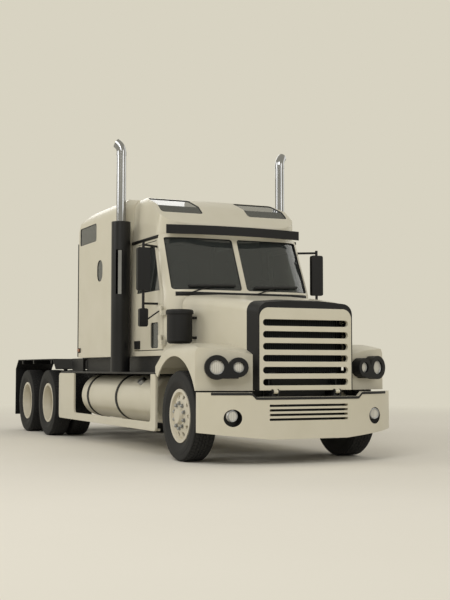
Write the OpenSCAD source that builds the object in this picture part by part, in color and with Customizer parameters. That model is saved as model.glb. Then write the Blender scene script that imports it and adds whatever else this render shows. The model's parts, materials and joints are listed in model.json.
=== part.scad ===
// Bonneted road tractor: raised-roof sleeper, tandem drive axles, twin upright stacks.
// Millimetres. +X is forward, +Y is the vehicle's left, +Z is up.
// The origin is on the ground, midway between the bumper's face and the back of the mud flaps.

/* [Wheelbase and overhangs] */
// Front axle to the middle of the two drive axles
wheelbase = 6060; // [5900:10:6600]
// Bumper face to front axle
front_overhang = 1000; // [980:5:1060]
// Distance between the two drive axles
tandem_spacing = 1300; // [1260:5:1400]
// Rear drive axle to the back of the mud flaps
rear_overhang = 690; // [660:5:900]

/* [Wheels and tyres] */
// Outside diameter of a tyre
tyre_d = 1030; // [1000:5:1050]
// Width of a tyre
tyre_w = 280; // [260:5:290]
// Diameter of the rim where the tyre's bead sits
rim_d = 572; // [550:1:590]
// Front tyre middle to front tyre middle
front_track = 2050; // [2030:5:2070]
// Middle of the left twin tyres to the middle of the right ones
drive_track = 1830; // [1810:5:1850]
// Middle to middle of two twin tyres
twin_spacing = 335; // [325:1:345]

/* [Frame] */
// Outside width over the two frame rails
frame_w = 860; // [830:5:880]
// Height of a frame rail
frame_h = 270; // [240:5:290]
// Top of the frame above the ground
frame_top = 1010; // [990:5:1030]
// Thickness of the rail's web and flanges
rail_t = 12; // [8:1:16]

/* [Cab] */
// Outside width of the cab
cab_w = 2050; // [2000:5:2070]
// Length of the cab, cowl to back wall
cab_length = 1460; // [1440:5:1560]
// Front axle to the cowl
cowl_setback = 640; // [620:5:700]
// Underside of the cab and the sleeper above the ground
cab_floor = 1210; // [1190:5:1230]
// Height of the windscreen's lower edge
belt_z = 1990; // [1970:5:2020]
// Height of the joint between cab walls and roof
cab_top = 2730; // [2700:5:2780]
// How far the windscreen leans back over its height
screen_rake = 360; // [300:5:400]
// Thickness of the cab's walls and doors
cab_wall = 55; // [45:1:70]

/* [Sleeper and roof] */
// Outside width of the sleeper
sleeper_w = 2220; // [2180:5:2260]
// Length of the sleeper
sleeper_length = 2040; // [1800:10:2100]
// Highest point of the sleeper's roof
roof_z = 3330; // [3290:5:3380]
// Thickness of the sleeper's walls
sleeper_wall = 50; // [40:1:60]

/* [Hood] */
// Half the hood's width at the grille
hood_nose_half = 590; // [570:5:610]
// Half the hood's width at the cowl
hood_back_half = 850; // [830:5:870]
// Top of the hood at the grille
hood_nose_z = 1805; // [1780:5:1830]
// Top of the hood at the cowl
hood_back_z = 1965; // [1940:5:1975]
// Thickness of the hood's moulding
hood_wall = 18; // [14:1:24]
// Radius of the front wheel arch
arch_r = 680; // [670:5:690]

/* [Grille] */
// Number of slots in the grille
grille_slots = 6; // [4:1:8]
// Height of one slot
grille_slot_h = 73; // [50:1:80]
// Middle of the lowest slot above the ground
grille_low_z = 904; // [890:1:920]
// Middle of the highest slot above the ground
grille_high_z = 1556; // [1500:1:1580]
// Half the length of a slot
grille_slot_half = 535; // [480:5:545]

/* [Bumper] */
// Overall width of the bumper
bumper_w = 2420; // [2380:5:2440]
// Height of the bumper's lower edge at its middle
bumper_low_z = 285; // [260:5:310]
// Height of the bumper's upper edge at its middle
bumper_top_z = 745; // [720:5:760]
// How far the bumper's ends sweep back
bumper_sweep = 290; // [240:5:300]

/* [Exhaust] */
// Top of the exhaust stacks above the ground
stack_top = 4060; // [3900:10:4080]
// Diameter of the upper pipe
stack_d = 126; // [100:1:140]
// Diameter of the heat shield
shield_d = 250; // [230:1:260]
// Top of the heat shield
shield_top = 2975; // [2800:5:3100]
// Gap between the cab's side and the heat shield
stack_gap = 23; // [15:1:40]

/* [Fuel tanks] */
// Diameter of a fuel tank
tank_d = 600; // [560:5:610]
// Length of a fuel tank
tank_length = 2900; // [2600:10:3000]
// Middle of the left tank to the middle of the right one
tank_spacing = 1660; // [1650:2:1670]

/* [Hidden] */

$fn = 64;
// Left is +1, right is -1
LEFT = 1;
RIGHT = -1;
SIDES = [LEFT, RIGHT];
// Overrun of every cutting shape
over = 20;
// Clearance of a pin in its bore, and of a pane or pad in its seat
pin_gap = 0.1;
seat_gap = 0.3;
// Clearance round a moving panel
panel_gap = 10;
// Steps in a drawn arc of a quarter turn
arc_steps = 6;

// Places along the vehicle
overall_length = front_overhang + wheelbase + tandem_spacing / 2 + rear_overhang;
x_front = overall_length / 2;
x_rear = -overall_length / 2;
x_steer = x_front - front_overhang;
x_drive = [x_steer - wheelbase + tandem_spacing / 2, x_steer - wheelbase - tandem_spacing / 2];
x_cowl = x_steer - cowl_setback;
x_cab0 = x_cowl - cab_length;
x_sleeper0 = x_cab0 - sleeper_length;
tyre_r = tyre_d / 2;
axle_z = tyre_r;
frame_low = frame_top - frame_h;

// Points of an elliptic arc from angle a0 to a1
function arc_points(cx, cy, rx, ry, a0, a1, n = arc_steps) =
  [for (k = [0 : n]) [cx + rx * cos(a0 + (a1 - a0) * k / n), cy + ry * sin(a0 + (a1 - a0) * k / n)]];
// A half outline mirrored over its second coordinate, as a closed polygon
function both_halves(half) = concat(half, [for (k = [len(half) - 1 : -1 : 0]) [half[k][0], -half[k][1]]]);
// The same for a half outline of (height, distance from the middle), as front-view points
function front_halves(half) = [for (p = both_halves(half)) [p[1], p[0]]];

// A side-view (x, z) outline, extruded from one y to another
module side_extrude(y0, y1) {
  translate([0, y1, 0]) rotate([90, 0, 0]) linear_extrude(y1 - y0) children();
}
// A front-view (y, z) outline, extruded from one x to another
module front_extrude(x0, x1) {
  translate([x0, 0, 0]) rotate([90, 0, 90]) linear_extrude(x1 - x0) children();
}
// A round bar along Y, from one y to another
module bar_y(x, z, r, y0, y1) {
  translate([x, min(y0, y1), z]) rotate([-90, 0, 0]) cylinder(r = r, h = abs(y1 - y0));
}
// A solid of revolution about a line along Y through (x, z), its outline drawn as (radius, y)
module spin_y(x, z) {
  translate([x, 0, z]) rotate([-90, 0, 0]) rotate_extrude() children();
}
// A block from its low corner to its high corner
module block(low, high) {
  translate(low) cube(high - low);
}
// A block on one side of the vehicle, given by its distances from the middle
module side_block(side, x0, x1, y0, y1, z0, z1) {
  block([x0, side > 0 ? y0 : -y1, z0], [x1, side > 0 ? y1 : -y0, z1]);
}
// A rectangle with round corners, from its low corner to its high corner
module round_rect(low, high, r) {
  translate(low + [r, 0]) square([high[0] - low[0] - 2 * r, high[1] - low[1]]);
  translate(low + [0, r]) square([high[0] - low[0], high[1] - low[1] - 2 * r]);
  for (u = [low[0] + r, high[0] - r], v = [low[1] + r, high[1] - r]) translate([u, v]) circle(r = r);
}
// A straight round bar between two points
module bar(from, to, r) {
  d = to - from;
  translate(from) rotate([0, atan2(norm([d[0], d[1]]), d[2]), atan2(d[1], d[0])])
    cylinder(r = r, h = norm(d));
}

// Frame rails: two channel rails tied by cross members, from the bumper to the lamp bar
flange_w = 85;
rail_nose_gap = 160;
rail_x1 = x_front - rail_nose_gap;
horn_low = 620;
horn_top = 765;
horn_lap = 120;
bumper_bracket = 40;
rail_end_inset = 120;
rail_x0 = x_rear + rail_end_inset;
member_h = 150;
member_t = 60;
// Places of the cross members, as shares of the rail's length from the rear
member_shares = [0.005, 0.145, 0.3, 0.4, 0.5, 0.985];
// Hood hinge: a pin between two cheeks on each horn, below the grille's front edge
hood_pin_r = 12;
hood_eye_r = 22;
hood_eye_w = 50;
cheek_t = 12;
cheek_gap = 5;
hood_hinge_z = 800;
hood_hinge_back = 70;
hood_hinge_y = frame_w / 2 - flange_w / 2;
x_hood_hinge = x_front - hood_hinge_back;
module frame_horn(side) {
  side_block(side, rail_x1 - horn_lap, x_front - bumper_wall - bumper_bracket, frame_w / 2 - flange_w,
    frame_w / 2, horn_low, horn_top);
  for (k = [-1, 1]) {
    y = side * hood_hinge_y + k * (hood_eye_w / 2 + cheek_gap + cheek_t / 2);
    bar_y(x_hood_hinge, hood_hinge_z, hood_eye_r, y - cheek_t / 2, y + cheek_t / 2);
    block([x_hood_hinge - 3 * hood_eye_r, y - cheek_t / 2, horn_top - cheek_t],
      [x_hood_hinge, y + cheek_t / 2, hood_hinge_z]);
  }
  pin_half = hood_eye_w / 2 + cheek_gap + cheek_t;
  y = side * hood_hinge_y;
  bar_y(x_hood_hinge, hood_hinge_z, hood_pin_r, y - pin_half, y + pin_half);
}
module frame_rails() {
  color("#1b1b1c") {
    for (s = SIDES) frame_horn(s);
    for (s = SIDES) difference() {
      side_block(s, rail_x0, rail_x1, frame_w / 2 - flange_w, frame_w / 2, frame_low, frame_top);
      side_block(s, rail_x0 - over, rail_x1 + over, frame_w / 2 - flange_w - over, frame_w / 2 - rail_t,
        frame_low + rail_t, frame_top - rail_t);
    }
    for (f = member_shares) translate([rail_x0 + f * (rail_x1 - rail_x0 - member_t), 0, 0])
      block([0, -frame_w / 2 + rail_t, frame_low + frame_h / 2 - member_h / 2],
        [member_t, frame_w / 2 - rail_t, frame_low + frame_h / 2 + member_h / 2]);
  }
}

// Engine and gearbox: one plain mass between the rails, with sump and bell housing
engine_w = 640;
engine_length = 1180;
engine_low = 620;
engine_top = 1560;
engine_front = 620;
sump_h = 160;
sump_inset = 90;
gearbox_w = 430;
gearbox_length = 860;
gearbox_low = 660;
gearbox_top = 1120;
mount_w = 110;
module engine_block() {
  color("#4a4d50") {
    x1 = x_steer + engine_front;
    x0 = x1 - engine_length;
    block([x0, -engine_w / 2, engine_low + sump_h], [x1, engine_w / 2, engine_top]);
    block([x0 + sump_inset, -engine_w / 2 + sump_inset, engine_low],
      [x1 - sump_inset, engine_w / 2 - sump_inset, engine_low + sump_h]);
    block([x0 - gearbox_length, -gearbox_w / 2, gearbox_low], [x0, gearbox_w / 2, gearbox_top]);
    for (s = SIDES, x = [x0 + mount_w, x1 - 2 * mount_w])
      side_block(s, x, x + mount_w, engine_w / 2, frame_w / 2 - flange_w, frame_top - mount_w, frame_top);
  }
}

// Radiator: core in a steel frame, standing on the rails just behind the grille
radiator_half = 500;
radiator_t = 90;
radiator_front = 790;
radiator_top = 1690;
radiator_rim = 45;
radiator_recess = 12;
module radiator() {
  color("#26282a") difference() {
    x1 = x_steer + radiator_front;
    block([x1 - radiator_t, -radiator_half, frame_top], [x1, radiator_half, radiator_top]);
    for (x = [x1 - radiator_recess, x1 - radiator_t - over])
      block([x, -radiator_half + radiator_rim, frame_top + radiator_rim],
        [x + radiator_recess + over, radiator_half - radiator_rim, radiator_top - radiator_rim]);
  }
}

// Front axle: a dropped I-beam with a bored eye at each end for the kingpin
kingpin_inset = 140;
kingpin_y = front_track / 2 - kingpin_inset;
kingpin_r = 24;
eye_r = 62;
eye_h = 130;
beam_w = 110;
beam_h = 125;
beam_drop = 105;
beam_bend_y = 640;
beam_web = 36;
beam_flange = 30;
spring_y = frame_w / 2 - flange_w / 2;
module front_axle_beam() {
  color("#2b2d2f") difference() {
    union() {
      low = axle_z - beam_drop - beam_h / 2;
      end = axle_z - beam_h / 2;
      front_extrude(x_steer - beam_w / 2, x_steer + beam_w / 2) polygon(front_halves([
        [low, beam_bend_y - beam_drop], [end, beam_bend_y], [end, kingpin_y],
        [end + beam_h, kingpin_y], [end + beam_h, beam_bend_y - beam_flange],
        [low + beam_h, beam_bend_y - beam_drop - beam_flange]]));
      for (s = SIDES) translate([x_steer, s * kingpin_y, axle_z - eye_h / 2]) cylinder(r = eye_r, h = eye_h);
    }
    for (s = SIDES) translate([x_steer, s * kingpin_y, axle_z - eye_h / 2 - over])
      cylinder(r = kingpin_r + pin_gap, h = eye_h + 2 * over);
    for (x = [x_steer - beam_w / 2 - over, x_steer + beam_web / 2])
      block([x, -beam_bend_y + 2 * beam_drop, axle_z - beam_drop - beam_h / 2 + beam_flange],
        [x + beam_w / 2 - beam_web / 2 + over, beam_bend_y - 2 * beam_drop,
          axle_z - beam_drop + beam_h / 2 - beam_flange]);
  }
}

// Suspension: front leaf springs in hangers; rear trailing arms with air springs
leaf_length = 1400;
leaf_w = 90;
leaf_t = 14;
leaf_sag = 70;
leaf_count = 4;
leaf_step = 150;
hanger_t = 70;
arm_h = 90;
arm_w = 100;
arm_length = 560;
bag_r = 125;
bag_waist_r = 108;
bag_cap_r = 80;
bag_offset = 330;
bag_cap_h = 16;
tube_r = 72;
// Height of the front axle's spring pads
spring_pad_z = axle_z - beam_drop + beam_h / 2;
// Rise of the spring's curve at x from the axle, and half the length of leaf j
function leaf_rise(x) = leaf_sag * pow(x / (leaf_length / 2), 2);
function leaf_half(j) = leaf_length / 2 - j * leaf_step;
// Half the pack's side outline as (z, x): the main leaf's top, then the steps of the leaf ends
function leaf_pack_half() = concat(
  [for (k = [1 : arc_steps]) let (x = leaf_length / 2 * k / arc_steps) [leaf_rise(x) + leaf_t, x]],
  [[leaf_rise(leaf_half(0)), leaf_half(0)]],
  [for (j = [1 : leaf_count - 1], drop = [j - 1, j])
    [leaf_rise(leaf_half(j)) - drop * leaf_t, leaf_half(j)]]);
module front_spring(side) {
  y = side * spring_y;
  z = spring_pad_z - leaf_rise(leaf_half(leaf_count - 1)) + (leaf_count - 1) * leaf_t;
  translate([x_steer, 0, z]) side_extrude(y - leaf_w / 2, y + leaf_w / 2)
    polygon(front_halves(leaf_pack_half()));
  for (x = [x_steer - leaf_length / 2, x_steer + leaf_length / 2 - hanger_t])
    block([x, y - leaf_w / 2, z + leaf_rise(leaf_length / 2 - hanger_t)],
      [x + hanger_t, y + leaf_w / 2, frame_low]);
}
module rear_spring(side, x) {
  y = side * spring_y;
  top = axle_z + tube_r + arm_h;
  block([x - arm_length + bag_offset / 2, y - arm_w / 2, axle_z + tube_r],
    [x + arm_length, y + arm_w / 2, top]);
  block([x + arm_length - hanger_t, y - arm_w / 2, top], [x + arm_length, y + arm_w / 2, frame_low]);
  translate([x - bag_offset, y, top]) rotate_extrude() polygon(concat(
    [[0, 0], [bag_cap_r, 0], [bag_cap_r, bag_cap_h]],
    [for (k = [0 : 2 * arc_steps]) [bag_waist_r + (bag_r - bag_waist_r) * abs(sin(180 * k / arc_steps)),
      bag_cap_h + (frame_low - top - 2 * bag_cap_h) * k / (2 * arc_steps)]],
    [[bag_cap_r, frame_low - top - bag_cap_h], [bag_cap_r, frame_low - top], [0, frame_low - top]]));
}
module suspension() {
  color("#2b2d2f") for (s = SIDES) {
    front_spring(s);
    for (x = x_drive) rear_spring(s, x);
  }
}

// Drive axles: a banjo housing with tubes and a spindle at each end
banjo_r = 215;
banjo_w = 300;
banjo_nose_r = 130;
banjo_nose = 330;
spindle_r = 55;
spindle_inset = 40;
tube_tyre_gap = 5;
spindle_y = drive_track / 2 + twin_spacing / 2 - spindle_inset;
tube_y = drive_track / 2 - twin_spacing / 2 - tyre_w / 2 - tube_tyre_gap;
module drive_axle(x) {
  spin_y(x, axle_z) polygon([
    [0, -banjo_w / 2], [banjo_r - banjo_w / 6, -banjo_w / 2], [banjo_r, -banjo_w / 6],
    [banjo_r, banjo_w / 6], [banjo_r - banjo_w / 6, banjo_w / 2], [0, banjo_w / 2]]);
  bar_y(x, axle_z, tube_r, -tube_y, tube_y);
  bar_y(x, axle_z, spindle_r, -spindle_y, spindle_y);
  translate([x, 0, axle_z]) rotate([0, 90, 0]) cylinder(r = banjo_nose_r, h = banjo_nose);
}
module drive_axles() {
  color("#2b2d2f") for (x = x_drive) drive_axle(x);
}

// Propeller shafts: gearbox to first axle, first axle to second
shaft_r = 55;
joint_r = 80;
flange_r = 92;
joint_l = 90;
module shaft(from, to) {
  d = (to - from) / norm(to - from);
  bar(from, to, shaft_r);
  bar(from, from + d * joint_l, joint_r);
  bar(to - d * joint_l, to, joint_r);
}
module prop_shafts() {
  gearbox_end = x_steer + engine_front - engine_length - gearbox_length;
  gearbox_z = gearbox_low + gearbox_w / 2;
  x_nose = x_drive[0] + banjo_nose;
  color("#38393b") {
    translate([x_nose + seat_gap, 0, axle_z]) rotate([0, 90, 0]) cylinder(r = flange_r, h = joint_l);
    shaft([x_nose + joint_l / 2, 0, axle_z], [gearbox_end - joint_l / 2, 0, gearbox_z]);
    translate([gearbox_end - seat_gap - joint_l, 0, gearbox_z]) rotate([0, 90, 0])
      cylinder(r = flange_r, h = joint_l);
    shaft([x_drive[1] + banjo_nose + seat_gap, 0, axle_z], [x_drive[0] - banjo_r - seat_gap, 0, axle_z]);
  }
}

// Fuel tanks: rolled cylinders with dished ends and a filler, strapped to the rails
tank_r = tank_d / 2;
tank_z = 670;
tank_front = 950;
tank_dish = 60;
filler_r = 55;
filler_h = 45;
filler_share = 0.18;
filler_angle = 45;
x_tank1 = x_steer - tank_front;
x_tank0 = x_tank1 - tank_length;
module fuel_tank(side) {
  translate([x_tank0, side * tank_spacing / 2, tank_z]) {
    rotate([0, 90, 0]) rotate_extrude() polygon(concat([[0, 0]],
      arc_points(tank_r - tank_dish, tank_dish, tank_dish, tank_dish, -90, 0),
      arc_points(tank_r - tank_dish, tank_length - tank_dish, tank_dish, tank_dish, 0, 90),
      [[0, tank_length]]));
    translate([tank_length * (1 - filler_share), 0, 0]) rotate([-side * filler_angle, 0, 0])
      cylinder(r = filler_r, h = tank_r + filler_h);
  }
}
module fuel_tanks() {
  color("#cfc9b8") for (s = SIDES) fuel_tank(s);
}

// Tank straps: steel bands round each tank, each on a bracket bolted to the rail
strap_w = 70;
strap_t = 8;
strap_shares = [0.12, 0.55];
bracket_h = 180;
bracket_t = 60;
module tank_strap(side, x) {
  difference() {
    union() {
      bar_x = [x - strap_w / 2, side * tank_spacing / 2, tank_z];
      translate(bar_x) rotate([0, 90, 0]) cylinder(r = tank_r + seat_gap + strap_t, h = strap_w);
      side_block(side, x - bracket_t / 2, x + bracket_t / 2, frame_w / 2,
        tank_spacing / 2 - tank_r + bracket_t, frame_low + frame_h / 2 - bracket_h / 2,
        frame_low + frame_h / 2 + bracket_h / 2);
    }
    translate([x - strap_w, side * tank_spacing / 2, tank_z]) rotate([0, 90, 0])
      cylinder(r = tank_r + seat_gap, h = 2 * strap_w);
  }
}
module tank_straps() {
  color("#161617") for (s = SIDES, f = strap_shares) tank_strap(s, x_tank0 + f * tank_length);
}

// Chassis fairings: side panels between the wheels, each cut down to show its tank
fairing_half = 1190;
fairing_t = 30;
fairing_low = 305;
fairing_top = 985;
fairing_front = 640;
fairing_rear_gap = 90;
fairing_lip = 90;
fairing_r = 60;
window_low_lip = 105;
window_front_lip = 170;
window_rear_share = 0.19;
x_fairing1 = x_steer - fairing_front;
x_fairing0 = x_drive[0] + tyre_r + fairing_rear_gap;
x_window1 = x_fairing1 - window_front_lip;
x_window0 = x_fairing0 + window_rear_share * (x_fairing1 - x_fairing0);
module fairing(side) {
  y0 = side > 0 ? fairing_half - fairing_t : -fairing_half;
  difference() {
    union() {
      side_extrude(y0, y0 + fairing_t)
        round_rect([x_fairing0, fairing_low], [x_fairing1, fairing_top], fairing_r);
      side_block(side, x_fairing0 + fairing_r, x_fairing1 - fairing_r, fairing_half - fairing_lip,
        fairing_half - fairing_t, fairing_low, fairing_low + fairing_t);
    }
    side_extrude(y0 - over, y0 + fairing_t + over) round_rect([x_window0, fairing_low + window_low_lip],
      [x_window1, fairing_top + 2 * fairing_r], fairing_r);
  }
}
module chassis_fairings() {
  color("#d3cdbb") for (s = SIDES) fairing(s);
}

// Step plates: tread over each tank, sill panel under cab and sleeper, raised rear deck
tread_t = 25;
sill_t = 40;
sill_inset = 75;
deck_guard_gap = 90;
deck_t = 30;
deck_gap = 40;
deck_half = 1000;
deck_z = 1205;
sill_half = cab_w / 2 - sill_inset;
module step_plates() {
  x1 = x_sleeper0 - deck_gap;
  x0 = x_drive[0] + tyre_r + guard_front_gap + deck_guard_gap;
  tread_z = fairing_top + tread_t;
  color("#141415") {
    for (s = SIDES) {
      side_block(s, x_fairing0 + fairing_r, x_fairing1 - fairing_r, frame_w / 2,
        fairing_half - fairing_t / 2, fairing_top, tread_z);
      side_block(s, x_sleeper0, x_cowl - cab_wall, sill_half - sill_t, sill_half, tread_z, cab_floor);
      side_block(s, x0, x1, deck_half - sill_t, deck_half, tread_z, deck_z - deck_t);
      side_block(s, x0, x1, frame_w / 2 - flange_w, frame_w / 2 - deck_t, frame_top, deck_z - deck_t);
    }
    block([x0, -deck_half, deck_z - deck_t], [x1, deck_half, deck_z]);
  }
}

// Rear mudguards: a flat-topped guard over each side's twin wheels, with arms and a flap
guard_half = 1235;
guard_inner = 590;
guard_t = 14;
guard_clear = 160;
guard_front_gap = 70;
guard_turn_x = 190;
guard_turn_z = 150;
flap_low = 260;
flap_t = 12;
arm_r = 30;
guard_arm_back = 180;
guard_z = tyre_d + guard_clear;
module rear_mudguard(side) {
  x1 = x_drive[0] + tyre_r + guard_front_gap;
  y0 = side > 0 ? guard_inner : -guard_half;
  side_extrude(y0, y0 + guard_half - guard_inner) polygon([
    [x_rear, flap_low], [x_rear + flap_t, flap_low], [x_rear + flap_t, guard_z - guard_turn_z],
    [x_rear + guard_turn_x, guard_z], [x1 - guard_turn_x, guard_z], [x1 - guard_t, guard_z - guard_turn_z],
    [x1, guard_z - guard_turn_z + guard_t / 2], [x1 - guard_turn_x + guard_t / 2, guard_z + guard_t],
    [x_rear + guard_turn_x - guard_t / 2, guard_z + guard_t],
    [x_rear, guard_z - guard_turn_z + guard_t / 2]]);
  x_mid = (x_drive[0] + x_drive[1]) / 2 - guard_arm_back;
  for (x = [x_drive[0] + tyre_r / 2, x_mid, x_drive[1] - tyre_r / 2]) {
    side_block(side, x - arm_r, x + arm_r, frame_w / 2, guard_half - guard_t, guard_z - 2 * arm_r, guard_z);
    side_block(side, x - arm_r, x + arm_r, frame_w / 2, frame_w / 2 + 2 * arm_r, frame_top - 4 * arm_r,
      guard_z - 2 * arm_r);
  }
}
module rear_mudguards() {
  color("#18181a") for (s = SIDES) rear_mudguard(s);
}

// Rear lamps: a cross bar on the frame's end with a round lamp near each end
lamp_bar_h = 110;
lamp_bar_half = 560;
lamp_bar_t = 40;
tail_lamp_r = 52;
tail_lamp_t = 22;
tail_lamp_edge = 57;
tail_lamp_pitch = 114;
module rear_lamps() {
  color("#8c1a17") {
    z = frame_low + frame_h / 2;
    block([rail_x0 - lamp_bar_t, -lamp_bar_half, z - lamp_bar_h / 2],
      [rail_x0, lamp_bar_half, z + lamp_bar_h / 2]);
    for (s = SIDES, k = [0, 1]) {
      y = lamp_bar_half - tail_lamp_edge - k * tail_lamp_pitch;
      translate([rail_x0 - lamp_bar_t - tail_lamp_t, s * y, z]) rotate([0, 90, 0])
        cylinder(r = tail_lamp_r, h = tail_lamp_t);
    }
  }
}

// Bumper: a deep pressed shell swept back at its ends, with air slots and lamp bowls
bumper_wall = 60;
bumper_power = 4;
bumper_end_rise = 75;
bumper_side_top = 50;
bumper_step_y = 640;
bumper_step_run = 50;
bumper_flat_y = 480;
bumper_plan_steps = 12;
bumper_slots = 4;
bumper_slot_h = 26;
bumper_slot_pitch = 50;
bumper_slot_z = 500;
bumper_slot_half = 490;
slot_round_share = 0.4;
fog_y = 890;
fog_z = 520;
fog_r = 92;
fog_bowl = 45;
// Set-back of the bumper's face at a distance y from the middle
function bumper_back(y) = bumper_sweep * pow(abs(y) / (bumper_w / 2), bumper_power);
function bumper_plan(x, margin = 0) = [for (k = [-bumper_plan_steps : bumper_plan_steps])
  let (y = (bumper_w / 2 + margin) * k / bumper_plan_steps) [x - bumper_back(y), y]];
function bumper_front_view() = front_halves([
  [bumper_low_z, bumper_flat_y], [bumper_low_z + bumper_end_rise, bumper_w / 2],
  [bumper_top_z + bumper_side_top, bumper_w / 2],
  [bumper_top_z + bumper_side_top, bumper_step_y + bumper_step_run],
  [bumper_top_z, bumper_step_y]]);
module bumper() {
  color("#d3cdbb") difference() {
    intersection() {
      linear_extrude(frame_top) difference() {
        polygon(concat(bumper_plan(x_front), [[x_steer, bumper_w / 2], [x_steer, -bumper_w / 2]]));
        polygon(concat(bumper_plan(x_front - bumper_wall, over), [[x_steer - over, bumper_w / 2 + over],
          [x_steer - over, -bumper_w / 2 - over]]));
      }
      front_extrude(x_steer, x_front + over) polygon(bumper_front_view());
    }
    for (k = [0 : bumper_slots - 1]) front_extrude(x_front - 2 * bumper_wall, x_front + over)
      round_rect([-bumper_slot_half, bumper_slot_z + k * bumper_slot_pitch - bumper_slot_h / 2],
        [bumper_slot_half, bumper_slot_z + k * bumper_slot_pitch + bumper_slot_h / 2],
        slot_round_share * bumper_slot_h);
    for (s = SIDES) translate([x_front - bumper_back(fog_y) - fog_bowl, s * fog_y, fog_z]) rotate([0, 90, 0])
      cylinder(r = fog_r, h = bumper_wall + fog_bowl);
  }
  color("#d3cdbb") for (s = SIDES)
    side_block(s, x_front - bumper_wall - bumper_bracket, x_front - bumper_wall / 2,
      frame_w / 2 - flange_w, frame_w / 2, horn_low + bumper_bracket, horn_top - bumper_bracket);
}

// Fog lamps: a round lens high in each bowl, above a dark crescent
fog_lens_t = 30;
fog_lens_r = 66;
fog_lens_rim = 10;
fog_lens_lift = 22;
module fog_lamps() {
  color("#e8e6df") for (s = SIDES)
    translate([x_front - bumper_back(fog_y) - fog_bowl, s * fog_y, fog_z + fog_lens_lift])
      rotate([0, 90, 0]) cylinder(r1 = fog_lens_r, r2 = fog_lens_r - fog_lens_rim, h = fog_lens_t);
}

// Cab: hollow body where a side, a plan and a front outline meet, each drawn in by an inset
cab_corner_x = 300;
cab_corner_y = 420;
tumblehome = 55;
screen_slope = screen_rake / (cab_top - belt_z);
x_header = x_cowl - screen_rake;
function cab_side(inset) = [
  [x_cab0 + inset, cab_floor + inset], [x_cab0 + inset, cab_top],
  [x_header - inset, cab_top], [x_cowl - inset, belt_z], [x_cowl - inset, cab_floor + inset]];
function cab_plan(inset) = both_halves(concat([[x_cab0 + inset, cab_w / 2 - inset]],
  arc_points(x_cowl - inset - cab_corner_x, cab_w / 2 - inset - cab_corner_y, cab_corner_x, cab_corner_y,
    90, 0)));
// The same plan carried up the leaning windscreen
module cab_form(inset) {
  intersection() {
    side_extrude(-cab_w, cab_w) polygon(cab_side(inset));
    front_extrude(x_cab0, x_cowl + over) polygon(front_halves([[cab_floor, cab_w / 2 - inset],
      [belt_z, cab_w / 2 - inset], [cab_top, cab_w / 2 - inset - tumblehome]]));
    union() {
      linear_extrude(belt_z) polygon(cab_plan(inset));
      translate([0, 0, belt_z]) multmatrix([[1, 0, -screen_slope, 0], [0, 1, 0, 0], [0, 0, 1, 0]])
        linear_extrude(cab_top - belt_z) polygon(cab_plan(inset));
    }
  }
}
// Door opening in side view: upright at its lower front, then parallel to the windscreen
door_front = 215;
door_rear = 245;
door_low = cab_wall + panel_gap;
door_head = 70;
function door_outline(gap) =
  let (x0 = x_cab0 + door_rear + gap, x1 = x_cowl - door_front - gap,
    z0 = cab_floor + door_low + gap, z1 = cab_top - door_head - gap)
  [[x0, z0], [x1, z0], [x1, belt_z], [x1 - screen_slope * (z1 - belt_z), z1], [x0, z1]];
// Windscreen: two panes with a post between, in front view
post_half = 32;
screen_low_gap = 25;
screen_top_gap = 40;
screen_low_side = 90;
screen_top_side = 105;
screen_low_half = cab_w / 2 - screen_low_side;
screen_top_half = cab_w / 2 - screen_top_side;
screen_fillet = 40;
module pane_outline(gap) {
  for (s = SIDES) intersection() {
    round_rect([s > 0 ? post_half + gap : -screen_low_half + gap, belt_z + screen_low_gap + gap],
      [s > 0 ? screen_low_half - gap : -post_half - gap, cab_top - screen_top_gap - gap], screen_fillet);
    polygon([[s * (screen_low_half - gap), belt_z], [s * (screen_top_half - gap), cab_top],
      [0, cab_top], [0, belt_z]]);
  }
}
// Passage from cab to sleeper, in front view
passage_half = 560;
passage_low = 90;
// Door hinges: barrels outside the skin, two to a door
hinge_out = 22;
hinge_fore = 12;
hinge_skin_gap = 6;
hinge_x = x_cowl - door_front + hinge_fore;
hinge_y = cab_w / 2 + hinge_out;
hinge_r = 15;
hinge_pin_r = 8;
hinge_h = 60;
hinge_leaf = 75;
hinge_levels_share = [0.16, 0.62];
function hinge_z(f) = cab_floor + door_low + f * (belt_z - cab_floor);
module cab_hinge(side, f) {
  difference() {
    union() {
      translate([hinge_x, side * hinge_y, hinge_z(f) - hinge_h]) cylinder(r = hinge_r, h = hinge_h);
      side_block(side, hinge_x, hinge_x + 3 * hinge_r, cab_w / 2 - cab_wall / 2, hinge_y + hinge_r / 2,
        hinge_z(f) - hinge_h, hinge_z(f));
    }
    translate([hinge_x, side * hinge_y, hinge_z(f) - hinge_h - over])
      cylinder(r = hinge_pin_r + pin_gap, h = hinge_h + 2 * over);
  }
}
module cab_shell() {
  color("#d3cdbb") {
    difference() {
      cab_form(0);
      cab_form(cab_wall);
      front_extrude(x_cab0 - over, x_cab0 + 2 * cab_wall)
        translate([-passage_half, cab_floor + passage_low])
          square([2 * passage_half, cab_top - cab_floor - passage_low + over]);
      front_extrude(x_header - 2 * cab_wall - over, x_cowl + over) pane_outline(0);
      side_extrude(-cab_w, cab_w) polygon(door_outline(0));
    }
    for (s = SIDES, f = hinge_levels_share) cab_hinge(s, f);
  }
}

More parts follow.
